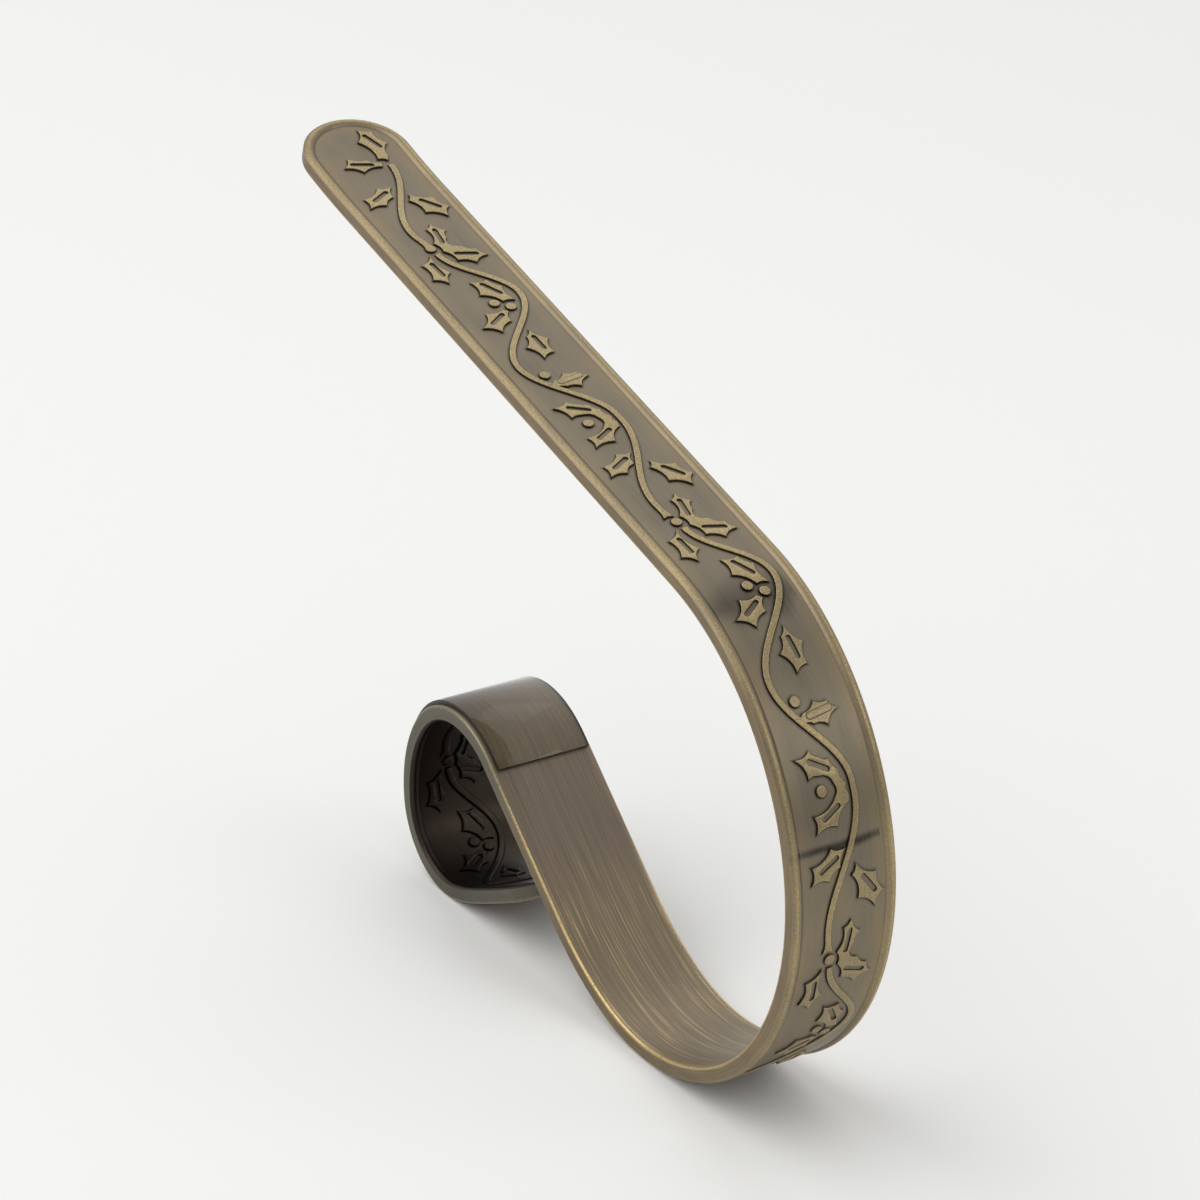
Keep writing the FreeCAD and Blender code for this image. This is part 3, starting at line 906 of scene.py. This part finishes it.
@dataclass
class Strip:
    """The brass strip: flat stock with a round bead along each edge and half-round ends.

    Args:
        half_width: half of its width.
        half_thickness: half of its thickness.
        rim_width: the width of a bead.
        rim_rise: how high a bead stands above the field.
        bead_fullness: the power of the bead's curve, 2 for a parabola.
        bead_steps: the number of the bead's faces across.
        bead_wear: how far the bead is worn.
        crest_wear: how much further its crest is worn.
        crest_place: where the crest's wear is strongest, from -1 at its inner foot to 1 at the strip's edge.
        crest_reach: how far that wear reaches on both sides, on the same scale.
        corner: the radius of the long corners at the back.
        corner_steps: the number of their faces.
        corner_wear: how far they are worn.
        corner_end_wear: the same where they run out.
        back_band: the width of the back's faces beside the corners, over which their wear fades.
        wall_band: the same on the side wall.
        wall_top: how far below the field the bead's wear has faded out on the side wall.
        rim_foot: the width of the dark line at the bead's inner foot, dark patina with painted shade in the
            crease.
        inner_wear: the wear at the bead's inner end, in that line and beyond it.
        far_foot_shade: how much of that dark line, patina with painted shade, is left on the far side.
        warm_band: how far from the bead the field is worn warmer.
        warm_wear: the wear in its middle.
        end_steps: the number of faces round an end.
        weld: the distance at which vertices are joined.
        front_up: the least upward part of a front face's normal.
        back_down: the least downward part of a back face's normal.
        sharp: the angle in degrees from which an edge stays sharp.
    """

    half_width: float = 12.7
    half_thickness: float = Course.half_thickness
    rim_width: float = 2.5
    rim_rise: float = 0.6
    bead_fullness: float = 2.3
    bead_steps: int = 12
    bead_wear: float = 0.2
    crest_wear: float = 0.3
    crest_place: float = 0.2
    crest_reach: float = 0.5
    corner: float = 0.6
    corner_steps: int = 4
    corner_wear: float = 0.9
    corner_end_wear: float = 0.3
    back_band: float = 1.2
    wall_band: float = 0.25
    wall_top: float = 0.3
    rim_foot: float = 0.28
    inner_wear: tuple[float, float, float] = (-0.1, -0.16, 0.12)
    far_foot_shade: float = 0.35
    warm_band: float = 3.4
    warm_wear: float = 0.08
    end_steps: int = 32
    weld: float = 1e-3
    front_up: float = 0.3
    back_down: float = 0.9
    sharp: float = 35.0

    @property
    def field_height(self) -> float:
        """Return the height of the field above the middle layer."""
        return self.half_thickness - self.rim_rise

    def half_section(self) -> list[tuple[float, float, float]]:
        """Return half of the section, from the middle of the back round the edge to the middle of the field.

        Returns:
            Places across the strip and up, each with its wear.
        """
        back = -self.half_thickness
        outline = [(0.0, back, 0.0), (self.half_width - self.corner - self.back_band, back, 0.0)]
        for step in range(self.corner_steps + 1):
            turn = math.pi / 2 * step / self.corner_steps
            across = self.half_width - self.corner * (1 - math.sin(turn))
            wear = self.corner_wear if 0 < step < self.corner_steps else self.corner_end_wear
            outline.append((across, back + self.corner * (1 - math.cos(turn)), wear))
        outline.append((self.half_width, back + self.corner + self.wall_band, 0.0))
        outline.append((self.half_width, self.field_height - self.wall_top, 0.0))
        middle = self.half_width - self.rim_width / 2
        at_end, in_line, beyond_line = self.inner_wear
        for step in range(self.bead_steps + 1):
            share = 1.0 - 2.0 * step / self.bead_steps
            rise = self.rim_rise * (1.0 - abs(share) ** self.bead_fullness)
            crest = max(0.0, 1.0 - abs(share - self.crest_place) / self.crest_reach)
            wear = self.bead_wear + self.crest_wear * crest if step < self.bead_steps else at_end
            outline.append((middle + share * self.rim_width / 2, self.field_height + rise, wear))
        inner = self.half_width - self.rim_width
        outline.append((inner - self.rim_foot / 2, self.field_height, in_line))
        outline.append((inner - self.rim_foot, self.field_height, beyond_line))
        outline.append((inner - self.warm_band / 2, self.field_height, self.warm_wear))
        outline.append((inner - self.warm_band, self.field_height, 0.0))
        outline.append((0.0, self.field_height, 0.0))
        return outline

    def flat_mesh(self, length: float) -> BMesh:
        """Return the flat strip, from one half-round end to the other.

        Args:
            length: between the centres of the two ends.

        Returns:
            The mesh, with the wear on its vertices and the finishes on its faces.
        """
        mesh = bmesh.new()
        Press.layers(mesh)
        wear = mesh.verts.layers.float[WEAR_AND_SHADE]
        chain = []
        for across, height, worn in self.half_section():
            vertex = mesh.verts.new((0.0, -across, height))
            vertex[wear] = worn
            chain.append(vertex)
        edges = [mesh.edges.new(pair) for pair in zip(chain, chain[1:])]
        turned = bmesh.ops.spin(
            mesh, geom=chain + edges, cent=(0, 0, 0), axis=(0, 0, 1), angle=-math.pi, steps=self.end_steps
        )["geom_last"]
        sides = edges + [item for item in turned if isinstance(item, bmesh.types.BMEdge)]
        run = bmesh.ops.extrude_edge_only(mesh, edges=sides)["geom"]
        ends = [item for item in run if isinstance(item, BMVert)]
        bmesh.ops.translate(mesh, verts=ends, vec=(length, 0, 0))
        near = [vertex for vertex in ends if vertex.co.y <= 0.0]
        rows = [item for item in run if isinstance(item, bmesh.types.BMEdge)]
        last = [edge for edge in rows if all(vertex in near for vertex in edge.verts)]
        bmesh.ops.spin(
            mesh, geom=near + last, cent=(length, 0, 0), axis=(0, 0, 1), angle=math.pi, steps=self.end_steps
        )
        bmesh.ops.remove_doubles(mesh, verts=mesh.verts, dist=self.weld)
        bmesh.ops.recalc_face_normals(mesh, faces=mesh.faces)
        for face in mesh.faces:
            up = face.normal.z
            skin = Skin.FRONT if up > self.front_up else Skin.BACK if up < -self.back_down else Skin.EDGE
            face.material_index = skin.value
        # The dark line at the bead's inner foot, patina with painted shade, is painted weaker on the far
        # side.
        for vertex in mesh.verts:
            if vertex.co.y > 0.0 and vertex[wear] < 0.0:
                vertex[wear] *= self.far_foot_shade
        return mesh


@dataclass
class GripFilm:
    """The clear film stuck round the outer side of the curl.

    Args:
        lead: how far before the curl it starts along the strip.
        length: its length.
        thickness: its thickness.
        near_inset: how far it stays back from the strip's near edge.
        far_inset: how far it stays back from the far edge.
        sink: how deep it is seated in the metal, so that no air shows between them.
        corner: the radius of its edges.
        corner_steps: the number of their faces.
        face_up: the least part of a face's normal that points up or down, beyond which it is no cut edge.
        sharp: the angle in degrees from which an edge stays sharp.
    """

    lead: float = 3.2
    length: float = 75.4
    thickness: float = 1.0
    near_inset: float = 1.4
    far_inset: float = 0.8
    sink: float = 0.02
    corner: float = 0.08
    corner_steps: int = 2
    face_up: float = 0.5
    sharp: float = 30.0

    def flat_mesh(self, course: Course, half_width: float) -> BMesh:
        """Return the film as it lies on the flat strip's back.

        Args:
            course: the strip's middle line.
            half_width: half of the strip's width.

        Returns:
            The mesh, with the face and the cut edges as its two finishes.
        """
        start = course.starts[course.crown] - self.lead
        near = self.near_inset - half_width
        far = half_width - self.far_inset
        low = -course.half_thickness - self.thickness
        high = -course.half_thickness + self.sink
        size = Vector((self.length, far - near, high - low))
        middle = Vector((start + self.length / 2, (near + far) / 2, (low + high) / 2))
        mesh = bmesh.new()
        Press.layers(mesh)
        matrix = Matrix.Translation(middle) @ Matrix.Diagonal((*size, 1.0))
        bmesh.ops.create_cube(mesh, size=1.0, matrix=matrix)
        bmesh.ops.bevel(
            mesh,
            geom=mesh.edges[:],
            affect="EDGES",
            offset=self.corner,
            segments=self.corner_steps,
            profile=0.5,
            material=-1,
        )
        for face in mesh.faces:
            face.material_index = 0 if abs(face.normal.z) > self.face_up else 1
        return mesh


def new_object(name: str, data: bpy.types.ID) -> bpy.types.Object:
    """Put a new object into the scene.

    Args:
        name: its name.
        data: its mesh, lamp or camera.

    Returns:
        The object.
    """
    item = bpy.data.objects.new(name, data)
    bpy.context.scene.collection.objects.link(item)
    return item


def linear(code: str) -> tuple[float, float, float, float]:
    """Turn a colour as a screen shows it into the linear one that the finishes take.

    Args:
        code: its sRGB hex value, such as 7d7464.

    Returns:
        Its linear red, green and blue, and full cover.
    """
    shares = [int(code[index : index + 2], 16) / 255 for index in (0, 2, 4)]
    curved = [share / 12.92 if share <= 0.04045 else ((share + 0.055) / 1.055) ** 2.4 for share in shares]
    return (*curved, 1.0)


class NodeTree:
    """A material's or the world's node tree, filled by small functions.

    Wherever one of them takes a value, that is a number, a colour or another node's output.
    """

    colour_inputs = (6, 7)
    colour_output = 2

    def __init__(self, tree: bpy.types.NodeTree) -> None:
        """Empty the tree."""
        self.tree = tree
        tree.nodes.clear()

    def add(
        self, kind: str, inputs: dict[str | int, object] | None = None, **settings: object
    ) -> bpy.types.Node:
        """Add a node.

        Args:
            kind: its type, without the leading ShaderNode.
            inputs: the value of each input.
            settings: properties of the node.

        Returns:
            The node.
        """
        node = self.tree.nodes.new("ShaderNode" + kind)
        for name, value in settings.items():
            setattr(node, name, value)
        for name, value in (inputs or {}).items():
            if isinstance(value, bpy.types.NodeSocket):
                self.tree.links.new(value, node.inputs[name])
            else:
                node.inputs[name].default_value = value
        return node

    def math(self, operation: str, *values: object) -> Socket:
        """Return the outcome of a sum of one to three values."""
        return self.add("Math", dict(enumerate(values)), operation=operation).outputs[0]

    def part(self, vector: Socket, axis: int) -> Socket:
        """Return one of the three parts of a vector."""
        return self.add("SeparateXYZ", {0: vector}).outputs[axis]

    def ranged(
        self, value: Socket, source: Span, target: Span = (0.0, 1.0), kind: str = "LINEAR"
    ) -> Socket:
        """Return a value moved from one range to another, and held at both ends.

        Args:
            value: the value.
            source: the range that it comes from.
            target: the range that it goes to.
            kind: how it runs between the ends.

        Returns:
            The new value.
        """
        inputs = {"Value": value, "From Min": source[0], "From Max": source[1]}
        inputs.update({"To Min": target[0], "To Max": target[1]})
        return self.add("MapRange", inputs, interpolation_type=kind).outputs[0]

    def noise(self, place: Socket, size: Span, detail: float) -> Socket:
        """Return the height of a noise of a real size, from -0.5 to 0.5.

        Args:
            place: the place on the flat strip.
            size: the size of its patches along and across the strip, in millimetres.
            detail: how many finer layers it has.

        Returns:
            Its height.
        """
        scale = tuple(1.0 / (span * MILLIMETRE) for span in (size[0], size[1], size[1]))
        spot = self.add("Mapping", {"Vector": place, "Scale": scale})
        noise = self.add("TexNoise", {"Vector": spot.outputs[0], "Scale": 1.0, "Detail": detail})
        return self.math("MULTIPLY_ADD", noise.outputs["Fac"], 1.0, -0.5)

    def ramp(self, shade: Socket, shades: Shades) -> Socket:
        """Return the colour of a shade.

        Args:
            shade: the shade, from 0 to 1.
            shades: the colours, each with its place from 0 to 1.

        Returns:
            The colour.
        """
        ramp = self.add("ValToRGB", {0: shade})
        points = ramp.color_ramp.elements
        while len(points) < len(shades):
            points.new(0.5)
        for point, (position, code) in zip(points, shades):
            point.position = position
            point.color = linear(code)
        return ramp.outputs[0]

    def mixed(self, share: Socket, first: Socket, second: Socket) -> Socket:
        """Return the colour that lies a share of the way from one colour to another."""
        inputs = {0: share, **dict(zip(self.colour_inputs, (first, second)))}
        return self.add("Mix", inputs, data_type="RGBA").outputs[self.colour_output]

    def surface(self, inputs: dict[str | int, object]) -> None:
        """Give a material its shader, with the value of each input."""
        shader = self.add("BsdfPrincipled", inputs)
        self.add("OutputMaterial", {"Surface": shader.outputs[0]})


def new_material(name: str) -> tuple[bpy.types.Material, NodeTree]:
    """Make a material that has nothing in it yet.

    Args:
        name: its name.

    Returns:
        The material and its empty tree.
    """
    material = bpy.data.materials.new(name)
    material.use_nodes = True
    return material, NodeTree(material.node_tree)


@dataclass(frozen=True)
class StainOrPaintedReflection:
    """A band across the strip's low places that moves the shade, in millimetres: a dark stain, or a painted
    reflection, dark, or bright with a depth under 0.

    Args:
        place: where its middle lies along the strip.
        reach: how far it fades out on both sides of its middle.
        depth: how far it moves the shade.
        far_end: where it ends across the strip.
        wander: how far its middle wanders, as a share of its reach.
    """

    place: float
    reach: float
    depth: float
    far_end: float = 9.4
    wander: float = 1.5


@dataclass(frozen=True)
class AntiqueBrass:
    """Brass plate, darkened in a bath and rubbed back on a wheel, as far along it as the wheel reached; on
    the front, the darker colours past that reach are painted shade inside the curl.

    Args:
        name: the material's name.
        rubbed: colours of the rubbed metal, from the darkest patina to bare edges.
        untouched_and_curl_shade: the same past that reach; on the front these are painted shade inside the
            curl.
        reach: where along the strip the rubbed colours start to give way to the others, and where they have
            given way fully, in millimetres.
        streaks: how far the brush marks move the shade.
        clouds: how far the uneven bath moves the shade.
        grit: how far the worn speckle moves the shade of the highs.
        stains_and_painted_reflections: the stains and painted reflections that cross the strip.
        low_wear: the wear up to which a place takes a stain or painted reflection fully, and from which it
            takes least.
        least_stain_or_reflection: how much of it a worn place takes.
        rough_shade: the shade of the roughest patina, and of the smoothest metal.
        smooth: roughness of the worn metal.
        rough: roughness of the patina.
        brush_length: the length of a brush mark, in millimetres, as all sizes here.
        brush_width: its width.
        cloud_size: the size of a cloud.
        grit_size: the size of a speckle.
        bump_height: the depth of the brush marks.
        bump_strength: how strongly they tilt the light.
    """

    name: str
    rubbed: Shades
    untouched_and_curl_shade: Shades
    reach: Span = (398.0, 428.0)
    streaks: float = 0.075
    clouds: float = 0.08
    grit: float = 0.6
    stains_and_painted_reflections: tuple[StainOrPaintedReflection, ...] = ()
    low_wear: Span = (0.1, 0.3)
    least_stain_or_reflection: float = 0.15
    rough_shade: Span = (0.2, 0.9)
    smooth: float = 0.36
    rough: float = 0.46
    brush_length: float = 14.0
    brush_width: float = 0.22
    cloud_size: float = 9.0
    grit_size: float = 0.45
    bump_height: float = 0.004
    bump_strength: float = 0.5

    @staticmethod
    def stained_or_reflected(
        tree: NodeTree, stain_or_reflection: StainOrPaintedReflection, shade: Socket, place: Socket, blur: Socket, low: Socket
    ) -> Socket:
        """Move the shade in a band across the strip: darker for a stain or a painted dark reflection, lighter
        for a painted bright reflection.

        Args:
            tree: the tree that it is added to.
            stain_or_reflection: the stain or painted reflection.
            shade: the shade so far.
            place: the place on the flat strip.
            blur: the noise that makes its edge uneven.
            low: 1 where the metal is low enough to hold it.

        Returns:
            The new shade.
        """
        near = tree.math("LESS_THAN", tree.part(place, 1), stain_or_reflection.far_end * MILLIMETRE)
        inside = tree.math("MULTIPLY", near, low)
        wander = stain_or_reflection.wander * stain_or_reflection.reach * MILLIMETRE
        wavy = tree.math("MULTIPLY_ADD", blur, wander, tree.part(place, 0))
        off = tree.math("ABSOLUTE", tree.math("SUBTRACT", wavy, stain_or_reflection.place * MILLIMETRE))
        dark = tree.ranged(off, (0.0, stain_or_reflection.reach * MILLIMETRE), (-stain_or_reflection.depth, 0.0), "SMOOTHSTEP")
        return tree.math("MULTIPLY_ADD", dark, inside, shade)

    def material(self) -> bpy.types.Material:
        """Make the material; its shade runs from 0 in the darkest patina and painted shade to 1 on a bare
        edge.

        Returns:
            The material.
        """
        material, tree = new_material(self.name)
        place = tree.add("Attribute", attribute_name=FLAT_PLACE).outputs["Vector"]
        wear = tree.add("Attribute", attribute_name=WEAR_AND_SHADE).outputs["Fac"]
        brush = tree.noise(place, (self.brush_length, self.brush_width), 3.0)
        cloud = tree.noise(place, (self.cloud_size * 2.0, self.cloud_size), 2.0)
        grit = tree.noise(place, (self.grit_size, self.grit_size), 2.0)
        speckle = tree.math("MULTIPLY", grit, tree.math("MAXIMUM", wear, 0.0))
        shade = tree.math("MULTIPLY_ADD", wear, 0.5, 0.5)
        for height, amount in ((brush, self.streaks), (cloud, self.clouds), (speckle, self.grit)):
            shade = tree.math("MULTIPLY_ADD", height, 2.0 * amount, shade)
        low = tree.ranged(wear, self.low_wear, (1.0, self.least_stain_or_reflection))
        # Stains, and painted dark and bright reflections, move the shade of the low places.
        for stain_or_reflection in self.stains_and_painted_reflections:
            shade = self.stained_or_reflected(tree, stain_or_reflection, shade, place, cloud, low)
        # Past the reach the second ramp takes over; on the front it paints the shade inside the curl.
        start, end = (distance * MILLIMETRE for distance in self.reach)
        beyond = tree.ranged(tree.part(place, 0), (start, end), kind="SMOOTHSTEP")
        colour = tree.mixed(beyond, tree.ramp(shade, self.rubbed), tree.ramp(shade, self.untouched_and_curl_shade))
        depth = self.bump_height * MILLIMETRE
        bump = tree.add("Bump", {"Height": brush, "Strength": self.bump_strength, "Distance": depth})
        tree.surface(
            {
                "Base Color": colour,
                "Metallic": 1.0,
                "Roughness": tree.ranged(shade, self.rough_shade, (self.rough, self.smooth)),
                "Normal": bump.outputs[0],
            }
        )
        return material


@dataclass(frozen=True)
class ClearFilm:
    """Soft clear vinyl, cut from a sheet: it shows the metal through, and its cut edges are painted dark,
    painted shade for the dark that they show by refraction and shadow.

    Args:
        name: the name of the material of its face.
        colour: the colour that it gives to light.
        roughness: roughness of its face.
        refraction: how strongly it bends light.
        edge_name: the name of the material of its cut edges.
        edge_shade_colour: their dark colour, painted shade.
        edge_roughness: their roughness.
    """

    name: str = "clear_vinyl_cut_sheet"
    colour: str = "f7f3e4"
    roughness: float = 0.03
    refraction: float = 1.45
    edge_name: str = "clear_vinyl_cut_edge_painted_shade"
    edge_shade_colour: str = "211d17"
    edge_roughness: float = 0.45

    def edge(self) -> bpy.types.Material:
        """Make the material of the cut edges, painted dark as painted shade.

        Returns:
            The material.
        """
        material, tree = new_material(self.edge_name)
        tree.surface({"Base Color": linear(self.edge_shade_colour), "Roughness": self.edge_roughness})
        return material

    def face(self) -> bpy.types.Material:
        """Make the material of its face.

        Returns:
            The material.
        """
        material, tree = new_material(self.name)
        tree.surface(
            {
                "Base Color": linear(self.colour),
                "Roughness": self.roughness,
                "IOR": self.refraction,
                "Transmission Weight": 1.0,
            }
        )
        return material


@dataclass(frozen=True)
class Lamp:
    """A soft square lamp.

    Args:
        name: its name.
        place: where it hangs, in metres.
        size: its side, in metres.
        power: in watts.
    """

    name: str
    place: tuple[float, float, float]
    size: float
    power: float


@dataclass
class Studio:
    """A plain pale floor, soft light and the camera at the photograph's place.

    Args:
        camera_place: where the camera stands, in millimetres.
        azimuth: its turn round the holder, in degrees, as the other angles.
        elevation: how far it looks down.
        roll: its turn about its own axis.
        lens: its focal length in millimetres.
        sensor: the width of its sensor in millimetres.
        near_clip: where its view starts, in metres.
        floor_size: the side of the floor, in metres.
        floor_colour: the floor's colour.
        floor_roughness: the floor's roughness.
        sky_low: the light from the horizon.
        sky_high: the light from straight above.
        backdrop: how much brighter the side behind the holder is.
        target: where the lamps point, in metres.
        lamps: the lamps.
    """

    camera_place: tuple[float, float, float] = (913.75, -543.02, 599.58)
    azimuth: float = 31.005
    elevation: float = 25.729
    roll: float = -0.144
    lens: float = 162.6
    sensor: float = 36.0
    near_clip: float = 0.05
    floor_size: float = 6.0
    floor_colour: str = "f2f2f0"
    floor_roughness: float = 0.9
    sky_low: float = 0.4
    sky_high: float = 0.78
    backdrop: float = 0.45
    target: tuple[float, float, float] = (0.0, 0.0, 0.08)
    lamps: tuple[Lamp, ...] = (
        Lamp("fill", (-0.6, -1.2, 1.5), 2.2, 18.0),
        Lamp("arm", (-0.27, 0.23, 0.5), 0.22, 0.05),
        Lamp("front", (0.9, 0.6, 0.75), 0.5, 1.0),
    )

    def camera(self) -> None:
        """Place the camera."""
        data = bpy.data.cameras.new("camera")
        data.lens = self.lens
        data.sensor_width = self.sensor
        data.clip_start = self.near_clip
        camera = new_object("camera", data)
        turn, rise = math.radians(self.azimuth), math.radians(self.elevation)
        back = Vector((math.cos(rise) * math.cos(turn), -math.cos(rise) * math.sin(turn), math.sin(rise)))
        roll = Quaternion((0.0, 0.0, 1.0), math.radians(self.roll))
        camera.rotation_mode = "QUATERNION"
        camera.rotation_quaternion = (-back).to_track_quat("-Z", "Y") @ roll
        camera.location = Vector(self.camera_place) * MILLIMETRE
        bpy.context.scene.camera = camera

    def floor(self) -> None:
        """Lay the floor."""
        mesh = bmesh.new()
        bmesh.ops.create_grid(mesh, x_segments=1, y_segments=1, size=self.floor_size / 2)
        data = bpy.data.meshes.new("floor")
        mesh.to_mesh(data)
        mesh.free()
        material, tree = new_material("pale_matt_paper")
        tree.surface({"Base Color": linear(self.floor_colour), "Roughness": self.floor_roughness})
        data.materials.append(material)
        floor = new_object("floor", data)

    def sky(self) -> None:
        """Light the room softly from all sides, more from above and from the white backdrop behind."""
        world = bpy.data.worlds.new("studio")
        world.use_nodes = True
        tree = NodeTree(world.node_tree)
        way = tree.add("TexCoord").outputs["Generated"]
        above = tree.ranged(tree.part(way, 2), (0.0, 1.0), (self.sky_low, self.sky_high))
        turn = math.radians(self.azimuth)
        away = (-math.cos(turn), math.sin(turn), 0.0)
        share = tree.add("VectorMath", {0: way, 1: away}, operation="DOT_PRODUCT").outputs["Value"]
        behind = tree.ranged(share, (0.0, 1.0), (0.0, self.backdrop))
        strength = tree.math("ADD", above, behind)
        light = tree.add("Background", {"Color": (1.0, 1.0, 1.0, 1.0), "Strength": strength})
        tree.add("OutputWorld", {"Surface": light.outputs[0]})
        bpy.context.scene.world = world

    def hang(self, lamp: Lamp) -> None:
        """Hang a lamp that points at the holder's middle.

        Args:
            lamp: the lamp.
        """
        data = bpy.data.lights.new(lamp.name, "AREA")
        data.size = lamp.size
        data.energy = lamp.power
        light = new_object(lamp.name, data)
        light.location = Vector(lamp.place)
        light.rotation_mode = "QUATERNION"
        light.rotation_quaternion = (Vector(self.target) - light.location).to_track_quat("-Z", "Y")

    def set_up(self) -> None:
        """Make the whole studio."""
        self.camera()
        self.floor()
        self.sky()
        for lamp in self.lamps:
            self.hang(lamp)


def brass_finishes() -> list[bpy.types.Material]:
    """Make the strip's finishes.

    Returns:
        The materials, in the order of Skin.
    """
    front = AntiqueBrass(
        "antique_brass_pressed",
        # The darkest colours colour the dark patina and the painted shade at the feet of the vine.
        (
            (0.0, "16120e"), (0.28, "45403a"), (0.5, "7e7565"),
            (0.6, "8d7e65"), (0.75, "a8976f"), (1.0, "d3bf8f"),
        ),
        # The front's second ramp paints the shade inside the curl.
        ((0.0, "090807"), (0.35, "1c1815"), (0.5, "423a34"), (0.62, "3a342e"), (1.0, "4a443a")),
        # At 226 mm a dark stain; at 170.5 mm a painted dark reflection; from 268 mm a painted bright
        # reflection of the floor.
        stains_and_painted_reflections=(StainOrPaintedReflection(226.0, 1.5, 0.22), StainOrPaintedReflection(170.5, 7.5, 0.13), StainOrPaintedReflection(268.0, 48.0, -0.05, 12.8)),
    )
    back = AntiqueBrass(
        "antique_brass_brushed_back",
        ((0.0, "5a5145"), (0.45, "7f7362"), (0.55, "897c66"), (0.65, "b7a37a"), (1.0, "dcc696")),
        ((0.0, "4c443a"), (0.5, "7d7163"), (1.0, "978977")),
        reach=(366.0, 390.0),
        streaks=0.34,
        brush_length=22.0,
        brush_width=0.28,
    )
    edge = AntiqueBrass(
        "antique_brass_sheared_edge",
        ((0.0, "2a251d"), (0.3, "5a503f"), (0.5, "7f7058"), (0.75, "a5916a"), (1.0, "c8ae7c")),
        ((0.0, "1e1c17"), (0.3, "403d35"), (0.5, "625e52"), (0.75, "6f6a59"), (1.0, "878066")),
        reach=(380.0, 415.0),
        streaks=0.2,
        brush_length=7.0,
    )
    return [front.material(), back.material(), edge.material()]


def build_strap(course: Course) -> bpy.types.Object:
    """Model and dress the embossed strip.

    Args:
        course: the strip's middle line.

    Returns:
        The strip.
    """
    strip = Strip()
    press = Press(course)
    press.add(strip.flat_mesh(course.length))
    HollyVine().press_all(Relief(press, strip.field_height), course)
    strap = press.finish("embossed_brass_strip", brass_finishes(), strip.sharp)
    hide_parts("holder_strap")
    return strap


def build_film(course: Course) -> bpy.types.Object:
    """Model and dress the clear film.

    Args:
        course: the strip's middle line.

    Returns:
        The film.
    """
    sheet = GripFilm()
    press = Press(course)
    press.add(sheet.flat_mesh(course, Strip.half_width))
    vinyl = ClearFilm()
    film = press.finish("clear_grip_film", [vinyl.face(), vinyl.edge()], sheet.sharp)
    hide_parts("grip_pad")
    return film


def main() -> None:
    """Build the holder round the frame, and the studio round the holder."""
    logging.basicConfig(level=logging.INFO, format="%(name)s %(message)s")
    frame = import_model()
    LOG.info("frame nodes: %s", sorted(frame["nodes"]))
    course = Course()
    for build in (build_strap, build_film):
        piece = build(course)
        LOG.info("made %s", piece.name)
    Studio().set_up()
    bpy.context.scene.view_settings.view_transform = "Standard"


if __name__ == "__main__":
    main()
